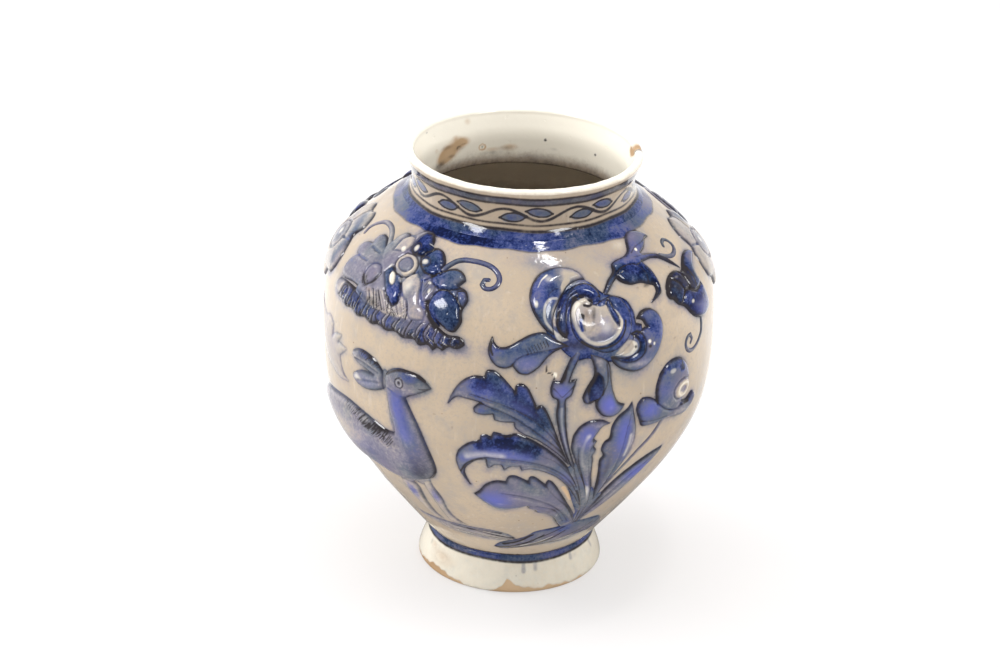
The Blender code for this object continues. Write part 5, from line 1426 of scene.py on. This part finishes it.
SCARF = 0.0020
FLOOR = 0.0080
FOOT_WALL = 0.0095
PIN = 0.0004
FLOOR_RADIUS = 0.030
FLOOR_RISE = 9.0
NECK_LEDGE = 0.0022
NECK_WALL = 0.0046
NECK_RIDGE = 0.0032
THROAT_RISE = 97.0
INNER_ROWS = 22
BOWL_ROWS = 128
SHOULDER_ROWS = 84
FINE_RISE = 92.0
FINE_ROWS = 38
throat = WAIST_RADIUS - FOOT_WALL
underside = FOOT_RISE - SCARF
floor_top = underside + FLOOR
bowl_inside = np.concatenate((inner_run(BELLY_AT, FLOOR_RISE), [
    (FLOOR_RADIUS, floor_top), (PIN, floor_top), (PIN, underside), (throat, underside)]))
wall_piece("lower_bowl_wall", np.linspace(0.0, BELLY_AT, BOWL_ROWS), bowl_inside, "lower_bowl")
root = SEAT_RADIUS - NECK_LEDGE - NECK_WALL
seat_bed = SEAT_LEVEL - SCARF
shoulder_rises = np.concatenate((np.linspace(BELLY_AT, FINE_RISE, SHOULDER_ROWS, endpoint=False),
                                 np.linspace(FINE_RISE, 100.0, FINE_ROWS)))
shoulder_inside = np.concatenate(([(root, seat_bed), (root, seat_bed - NECK_RIDGE)],
                                  inner_run(THROAT_RISE, BELLY_AT)))
wall_piece("shoulder_wall", shoulder_rises, shoulder_inside, "shoulder_shell")
print("wall pieces:", made[-2:], "triangles")

# %% [markdown]
# ## Neck and lip
#
# The neck is a short waisted collar. Its lip is rounded and left white, a beige strip and a blue-grey band
# run below it, and a brown stem waves round between them and the shoulder with a leaf in each bend. Inside,
# the glaze is off white with rusty pits and one worn patch where the clay shows.

# %% Neck
NECK_RADIUS = 0.0577
LIP_RADIUS = 0.0614
NECK_TOP = 0.2350
LIP_FLARE_RISE = 0.0090
NECK_WAIST = 0.45
NECK_COLUMNS = 860
NECK_OUTER_ROWS = 62
LIP_ROWS = 16
VINE_WAVE = 36.0
VINE_LEVEL = 220.8
VINE_SWING = 3.2
LIP_WHITE = 232.8
STRIP_TOP = 230.9
STRIP_FOOT = 226.2
ROOT_BAND = 212.7
BRUSHED_EDGE = 0.5
LIP_SOFT = 0.8
LIP_SLIP = 0.24
STRIP_SLIP = 0.26
STRIP_BLUE = 0.42
ROOT_BLUE = 0.74
NECK_LINES = ((230.4, 0.7, 0.85), (226.6, 0.8, 0.85), (228.6, 1.8, 0.46), (215.6, 0.7, 0.85),
              (213.0, 0.9, 1.0))
THIN_START = 219.0
THIN_RUN = 13.0
THIN_GLAZE_AND_SHADE_DARK = 0.62
INSIDE_WHITE = 1.05
INSIDE_THINNED_AND_SHADED = 0.95
LIP_EDGE_WHITE = 0.50
RIM_FOOT = 229.0
RIM_RUN = 5.0
RIM_RAISED = 0.2
NICK_FOOT = 230.5
NICK_RUN = 3.0
NICK_TURN = 97.0
NICK_HALF = 5.0
NICK_BARE = 0.9
NICK_DEPTH = 0.9
CRACK_TURN = 93.0
CRACK_HALF = 2.2
CRACK_DARK = 0.8


def neck_rows():
    """(radius, level) rows up the outside in arcs through its corners, over the lip, and down the inside."""
    rim = NECK_WALL / 2
    flare = NECK_TOP - rim - LIP_FLARE_RISE
    spread = LIP_RADIUS - NECK_RADIUS
    corners = [(SEAT_RADIUS + 1.6 * MM, SEAT_LEVEL - 2.6 * MM),
               (SEAT_RADIUS - 0.5 * MM, SEAT_LEVEL - 0.2 * MM),
               (SEAT_RADIUS - 2.4 * MM, SEAT_LEVEL + 2.4 * MM),
               (NECK_RADIUS, SEAT_LEVEL + NECK_WAIST * (flare - SEAT_LEVEL)),
               (NECK_RADIUS + 0.10 * spread, flare),
               (NECK_RADIUS + 0.55 * spread, flare + 0.55 * LIP_FLARE_RISE),
               (LIP_RADIUS, NECK_TOP - rim)]
    outside = even_line(smooth_line(corners, closed=False), NECK_OUTER_ROWS)
    swing = np.linspace(0.0, math.pi, LIP_ROWS)[1:-1]
    lip = np.stack((LIP_RADIUS - rim + rim * np.cos(swing), NECK_TOP - rim + rim * np.sin(swing)), axis=1)
    inside = outside[::-2] - (NECK_WALL, 0.0)
    inside[:, 0] = np.minimum.accumulate(inside[:, 0])
    inside = np.concatenate((inside, [(inside[-1, 0], SEAT_LEVEL - drop * MM) for drop in (3.6, 4.6, 5.5)]))
    return np.concatenate((outside, lip, inside)), len(outside), len(lip)


def vine_marks():
    """A waving stem round the neck, and in each bend a leaf outlined in brown and filled with blue."""
    turns = np.arange(-180.0, 181.0, 3.0)
    levels = VINE_LEVEL + VINE_SWING * np.cos(math.tau * (turns + 8.0) / VINE_WAVE)
    marks = [("dark stroke", (1.7, 0.90, list(zip(turns, levels))))]
    for bend in range(20):
        below = bend % 2 == 0
        middle = -188.0 + bend * VINE_WAVE / 2 + (4.0 if below else -1.0)
        level, tilt = (219.6, -0.8) if below else (222.3, 0.9)
        left, right = (middle - 7.2, level + tilt), (middle + 6.6, level - tilt)
        marks += [
            ("blue stroke", (4.2, 0.52, [(middle - 3.8, level + 0.5 * tilt), (middle, level),
                                         (middle + 3.6, level - 0.5 * tilt)])),
            ("dark wash", (middle, level, 3.4, 1.2, 0.30)),
            ("dark stroke", (1.0, 0.95, [left, (middle - 3.0, level + 0.3 * tilt + 2.1),
                                         (middle + 2.4, level - 0.2 * tilt + 2.0), right]),
             (1.0, 0.95, [left, (middle - 2.4, level + 0.2 * tilt - 2.0),
                          (middle + 3.0, level - 0.3 * tilt - 2.1), right]))]
    return marks


INSIDE_MARKS = [
    ("white wash", (-136.4, 218.4, 2.2, 1, 0.4), (-127.4, 216.4, 1.6, 1.2, 0.35),
     (-131, 214.4, 3, 1.4, 0.3)),
    ("dark wash", (-133.6, 214.6, 3, 1, 0.35), (-130, 220.2, 6, 1.6, 0.45), (-140, 217.6, 4, 1.2, 0.4),
     (-124, 212, 5, 2, 0.45), (-170, 214.6, 6, 1.6, 0.26), (-160, 212.4, 5, 1, 0.22),
     (163, 215.4, 2.6, 1, 0.25)),
    ("dark stroke", (1, 0.4, [(-138, 218.4), (-142, 219.6), (-146, 220.2)], 0.5)),
    ("dark dab", (-155, 216, 0.8, 0.6, 0.5), (168, 219.8, 1, 0.9, 0.85), (135, 218, 0.9, 0.8, 0.85),
     (-115, 232, 1.2, 0.5, 0.5)),
    ("bare wash", (-132, 217.6, 8, 4.6, 1.1), (-142, 220.8, 5, 2.6, 1), (-126, 214, 6, 3.6, 0.9),
     (-137, 224, 3.4, 2, 0.35), (-120, 221, 2.4, 1.6, 0.4), (-172, 215, 5, 2.4, 0.7),
     (-161, 214, 6, 1.8, 0.5), (-147, 230.6, 3, 2.4, 0.42), (170, 231.6, 3, 1.4, 0.25),
     (-178, 232.6, 9, 0.8, 0.28), (150, 232, 8, 0.8, 0.22)),
    ("bare ring", (1, 0.7, -155, 216, 2, 1.6)),
    ("bare dab", (98, 232.2, 6, 2.6, 0.9)),
]
neck_profile, outer_count, lip_count = neck_rows()
neck_turn, neck_radius, neck_level = turned_grid(neck_profile, NECK_COLUMNS)
neck_height = neck_level / MM
row = np.arange(len(neck_profile))[:, None]
outer = row < outer_count
inner_side = row >= outer_count + lip_count
collar = Canvas(neck_turn, neck_height, ring_chart(NECK_RADIUS))
collar.apply(vine_marks())
wavy = neck_height + 0.25 * np.sin(np.radians(5 * neck_turn)) + 0.15 * np.sin(np.radians(13 * neck_turn))
bands = {
    "white": LIP_SLIP * ramp(wavy, LIP_WHITE, LIP_SOFT) + STRIP_SLIP * ramp(wavy, STRIP_TOP, BRUSHED_EDGE),
    "blue": STRIP_BLUE * ramp(wavy, STRIP_FOOT, BRUSHED_EDGE) * ramp(STRIP_TOP - wavy, 0.0, BRUSHED_EDGE)
    + ROOT_BLUE * ramp(ROOT_BAND - wavy, 0.0, BRUSHED_EDGE),
    "dark": sum(amount * bell(wavy, level, half) for level, half, amount in NECK_LINES),
}
for kind, amount in bands.items():
    collar.layers[kind] = np.where(outer, collar.layers[kind] + amount, 0.0)
inner_sheet = Canvas(neck_turn, neck_height, ring_chart(NECK_RADIUS))
inner_sheet.apply(INSIDE_MARKS)
# Deeper inside the neck the white glaze thins and painted shade darkens it.
sunk = ramp(THIN_START - neck_height, 0.0, THIN_RUN)
inner_sheet.layers["dark"] += THIN_GLAZE_AND_SHADE_DARK * sunk ** 1.4
inner_sheet.layers["white"] += INSIDE_WHITE - INSIDE_THINNED_AND_SHADED * sunk ** 1.3
for kind in ("dark", "bare", "white"):
    collar.layers[kind] = np.where(inner_side, inner_sheet.layers[kind], collar.layers[kind])
over_lip = (row - outer_count) / lip_count
lip_white = LIP_EDGE_WHITE + (1.0 - LIP_EDGE_WHITE) * np.minimum(2.0 * over_lip, 1.0)
collar.layers["white"] = np.where(outer | inner_side, collar.layers["white"], lip_white)
at_lip = ramp(neck_height, NICK_FOOT, NICK_RUN)
nick = bell(neck_turn, NICK_TURN, NICK_HALF) * at_lip
collar.layers["bare"] += NICK_BARE * nick
collar.layers["dark"] += CRACK_DARK * bell(neck_turn, CRACK_TURN, CRACK_HALF) * at_lip
uneven = (0.10 * np.sin(np.radians(5 * neck_turn + 20)) + 0.06 * np.sin(np.radians(17 * neck_turn))
          + 0.05 * np.sin(np.radians(43 * neck_turn + 60)))
raised = ramp(neck_height, RIM_FOOT, RIM_RUN) * (uneven + RIM_RAISED)
neck_level = neck_level + MM * (raised - NICK_DEPTH * nick)
add_piece("neck_collar_wall", at_turn(neck_radius, neck_turn, neck_level).reshape(-1, 3),
          turned_faces(len(neck_profile), NECK_COLUMNS), collar.colours().reshape(-1, 4), neck_glaze,
          ["neck_collar"])
print("neck:", made[-1])

# %% [markdown]
# ## Foot
#
# The foot flares to the table. A violet band covers its joint with the bowl, then white glaze runs down and
# stops ragged above the table, where the clay stays bare. A few blue drips cross it.

# %% Foot
FOOT_RADIUS = 0.0495
FOOT_EDGE = 0.0022
FOOT_COLUMNS = 620
FOOT_OUTER_ROWS = 44
HEM_LEVEL = 16.8
FOOT_BAND_BLUE = 0.66
FOOT_WHITE = 0.46
FOOT_BARE = 0.9
RAGGED_BARE = 0.85
RAGGED_SOFT = 0.7
RAGGED_LINE = 0.30
RAGGED_LINE_HALF = 0.5
FOOT_HEM_SOFT = 0.6
FOOT_HEM_DROP = 0.8
FOOT_HEM_LINE = 0.95
FOOT_HEM_HALF = 0.9


def foot_rows():
    """(radius, level) rows from the foot's resting edge up its flared side, then back down its inside."""
    inside = FOOT_RADIUS - FOOT_WALL
    flare = FOOT_RADIUS - WAIST_RADIUS
    corners = [(FOOT_RADIUS - FOOT_EDGE, 0.0), (FOOT_RADIUS - 0.3 * FOOT_EDGE, 0.3 * FOOT_EDGE),
               (FOOT_RADIUS, FOOT_EDGE), (WAIST_RADIUS + 0.75 * flare, 0.35 * FOOT_RISE),
               (WAIST_RADIUS + 0.15 * flare, 0.75 * FOOT_RISE), (WAIST_RADIUS, FOOT_RISE)]
    outside = even_line(smooth_line(corners, closed=False), FOOT_OUTER_ROWS)
    under = [(throat, FOOT_RISE - SCARF), (inside - 0.6 * MM, 0.6 * FOOT_RISE), (inside, FOOT_EDGE),
             (inside + 0.3 * FOOT_EDGE, 0.3 * FOOT_EDGE), (inside + FOOT_EDGE, 0.0)]
    return np.concatenate((outside, under)), len(outside)


BARE_EDGE = [
    (-180, 2), (-150, 3.4), (-120, 1.4), (-90, 2.4), (-69, 3.6), (-60, 4.8), (-49, 5.2), (-42, 3.6),
    (-35, 3), (-27, 1.4), (-20, 0.8), (-12, 1.2), (-7, 2.6), (-4, 4.8), (-1, 8.6), (2, 7), (5, 4.8),
    (9, 4.4), (14, 3.2), (20, 3.2), (27, 3.8), (34, 3.2), (43, 2.2), (52, 2.8), (62, 1.4), (74, 1.8),
    (90, 0.8), (120, 3), (150, 1.2), (180, 2)
]
FOOT_MARKS = [
    ("dark wash", (-66, 13.4, 2, 2.6, 0.35), (-56, 14.4, 6, 1, 0.25)),
    ("blue pool", (1.8, 0.46, [(10, 16.6), (10, 12)]), (2.2, 0.34, [(18, 16.6), (18, 12.6)]),
     (2, 0.34, [(46, 16.6), (46, 13.4)]), (2.2, 0.3, [(70, 16), (72, 12.6)])),
    ("blue wash", (10, 12, 1.4, 1.2, 0.16), (24, 15, 5, 1.6, 0.12), (50, 14, 3.4, 1.8, 0.16),
     (-30, 13.6, 7, 2.6, 0.08), (-18, 8.4, 5, 4, 0.07), (34, 9, 8, 3, 0.05)),
    ("blue stroke", (2.2, 0.34, [(130, 17.5), (130, 12)]), (2.2, 0.34, [(-140, 17.5), (-140, 13)])),
    ("bare wash", (-57, 11, 12, 5.4, 0.26), (-42, 12, 13, 4, 0.25), (-49, 7.6, 13, 3.8, 0.26),
     (-62, 13.4, 3, 2, 0.35), (12, 4, 16, 1.6, 0.35), (-30, 3, 10, 1.6, 0.25)),
]
foot_profile, foot_outer = foot_rows()
foot_turn, foot_radius, foot_level = turned_grid(foot_profile, FOOT_COLUMNS)
base_ring = Canvas(foot_turn, foot_level / MM, ring_chart(FOOT_RADIUS))
base_ring.apply(FOOT_MARKS)
ragged = (np.interp(foot_turn, *np.array(BARE_EDGE).T) + 0.35 * np.sin(np.radians(31 * foot_turn))
          + 0.25 * np.sin(np.radians(57 * foot_turn + 70)))
layers = base_ring.layers
layers["bare"] += RAGGED_BARE * ramp(ragged - base_ring.rise, 0.0, RAGGED_SOFT)
layers["dark"] += RAGGED_LINE * bell(base_ring.rise, ragged, RAGGED_LINE_HALF)
layers["white"] += FOOT_WHITE
hem = (base_ring.rise - HEM_LEVEL + 0.4 * np.sin(np.radians(5 * foot_turn))
       - FOOT_HEM_DROP * ramp(-foot_turn, 0.0, 70.0))
covered = ramp(hem, 0.0, FOOT_HEM_SOFT)
layers["blue"] = layers["blue"] * (1.0 - covered) + FOOT_BAND_BLUE * covered
layers["white"] -= covered
layers["dark"] += FOOT_HEM_LINE * bell(hem, 0.0, FOOT_HEM_HALF)
outer = np.arange(len(foot_profile))[:, None] < foot_outer
layers["bare"] = np.where(outer, layers["bare"], FOOT_BARE)
add_piece("foot_ring_wall", at_turn(foot_radius, foot_turn, foot_level).reshape(-1, 3),
          turned_faces(len(foot_profile), FOOT_COLUMNS), base_ring.colours().reshape(-1, 4), pale_glaze,
          ["foot_ring"])
print("foot:", made[-1])

# %% [markdown]
# ## Floor and light
#
# The jar stands on a white sheet in a white room. A small softbox hangs overhead and three large panels
# light the jar from above and from both sides without being mirrored in it. Two glint boxes do the
# opposite: the glaze mirrors them, and they light nothing. The level is set so that a colour renders about
# as it is written. The camera sees the room and the sheet as white, and the glaze mirrors the room behind
# the jar most, which is what pales the jar's edges.

# %% Floor and light
WORLD_LEVEL = 0.88
FLOOR_COLOUR = (0.92, 0.91, 0.895)
FLOOR_SEEN = (0.40, 0.385, 0.38)
FLOOR_GLOW = 0.52
FLOOR_MIRRORED = (0.20, 0.20, 0.21)
FLOOR_REACH = 8.0
MIRROR_DARKEST = 0.10
SIDE_DIMMING = 0.65


def soft_box(name, place, aim, size, power):
    """A rectangular lamp at a place, turned to face a point."""
    lamp = bpy.data.lights.new(name, "AREA")
    lamp.shape = "RECTANGLE"
    lamp.size, lamp.size_y = size
    lamp.energy = power
    holder = bpy.data.objects.new(name, lamp)
    bpy.context.scene.collection.objects.link(holder)
    back = np.array(place) - np.array(aim)
    back /= np.linalg.norm(back)
    across = np.cross((0.0, 1.0, 0.0), back)
    across /= np.linalg.norm(across)
    turn = np.stack((across, np.cross(back, across), back), axis=1)
    holder.matrix_world = Matrix.Translation(place) @ Matrix(turn.tolist()).to_4x4()
    return holder


def white_sheet(name, reach):
    """A flat floor of one face, white and matt; in front of the jar it is painted darker for glossy rays, a
    painted dimming of its reflection in the glaze.
    """
    mesh = bpy.data.meshes.new(name)
    corners = [(-reach, -reach, 0.0), (reach, -reach, 0.0), (reach, reach, 0.0), (-reach, reach, 0.0)]
    mesh.from_pydata(corners, [], [(0, 1, 2, 3)])
    material = bpy.data.materials.new("floor_paper")
    material.use_nodes = True
    tree = material.node_tree
    shader = tree.nodes["Principled BSDF"]
    shader.inputs["Roughness"].default_value = 0.9
    shader.inputs["Specular IOR Level"].default_value = 0.0
    rays = tree.nodes.new("ShaderNodeLightPath").outputs
    seen, mirrored = Wire(tree, rays["Is Camera Ray"]), Wire(tree, rays["Is Glossy Ray"])
    spot = seen.node("ShaderNodeTexCoord", {}, {}, "Object")
    back = spot.node("ShaderNodeSeparateXYZ", {}, {0: spot}, "Y").between(-0.05, 0.30)
    # Glossy rays see the floor in front of the jar darker: a painted dimming of the floor's reflection.
    mirror = back.over((*FLOOR_MIRRORED, 1.0), (*FLOOR_COLOUR, 1.0))
    tree.links.new(mirrored.over((*FLOOR_COLOUR, 1.0), mirror).socket, shader.inputs["Base Color"])
    glow = seen.node("ShaderNodeEmission", {}, {"Color": (1.0, 1.0, 1.0, 1.0), "Strength": FLOOR_GLOW})
    shaded = seen.node("ShaderNodeBsdfDiffuse", {}, {"Color": (*FLOOR_SEEN, 1.0)})
    lit = seen.node("ShaderNodeAddShader", {}, {0: shaded, 1: glow})
    paper = seen.node("ShaderNodeMixShader", {}, {0: seen, 1: Wire(tree, shader.outputs[0]), 2: lit})
    tree.links.new(paper.socket, tree.nodes["Material Output"].inputs["Surface"])
    mesh.materials.append(material)
    sheet_floor = bpy.data.objects.new(name, mesh)
    bpy.context.scene.collection.objects.link(sheet_floor)


white_sheet("floor", FLOOR_REACH)
JAR_MIDDLE = (0.0, 0.0, 0.16)
LAMPS = (
    ("overhead_box", (0.265, -0.173, 1.465), (0.16, 0.040), 1.8, True, True),
    ("top_panel", (-0.1, -0.1, 1.9), (1.4, 1.2), 13.5, True, False),
    ("left_panel", (-1.3, 0.25, 0.75), (0.9, 1.0), 14.5, True, False),
    ("right_panel", (1.4, 0.25, 0.8), (0.9, 1.0), 6.0, True, False),
    ("left_glint", (-0.93, -0.69, 1.20), (0.56, 0.34), 12.0, False, True),
    ("right_glint", (0.77, -0.82, 1.15), (0.48, 0.34), 9.0, False, True),
)
for lamp_name, place, size, power, lights, mirrored in LAMPS:
    lamp_holder = soft_box(lamp_name, place, JAR_MIDDLE, size, power)
    lamp_holder.visible_diffuse = lights
    lamp_holder.visible_glossy = mirrored
world = bpy.data.worlds.new("white_room")
world.use_nodes = True
room = world.node_tree
path = room.nodes.new("ShaderNodeLightPath")
ray_camera, ray_glossy = (Wire(room, path.outputs[ray]) for ray in ("Is Camera Ray", "Is Glossy Ray"))
heading = ray_camera.node("ShaderNodeTexCoord", {}, {}, "Generated")
parts = heading.node("ShaderNodeSeparateXYZ", {}, {0: heading}).socket.node.outputs
beside, behind, above = (Wire(room, socket) for socket in parts)
low_behind = behind.between(-0.35, 0.35) * (1 - above.between(0.25, 0.60))
mirror_level = MIRROR_DARKEST + low_behind * (1 - SIDE_DIMMING * beside.between(0.2, 0.8))
level = WORLD_LEVEL + ray_camera * (1.0 - WORLD_LEVEL) + ray_glossy * (mirror_level - WORLD_LEVEL)
backdrop = room.nodes["Background"]
backdrop.inputs["Color"].default_value = (1.0, 1.0, 1.0, 1.0)
room.links.new(level.socket, backdrop.inputs["Strength"])
bpy.context.scene.world = world
bpy.context.scene.view_settings.view_transform = "Standard"
print("light set")

# %% Size and finish
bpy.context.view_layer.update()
triangles = [count for _, count in made]
print(len(made), "pieces,", sum(triangles), "triangles, largest", max(triangles))
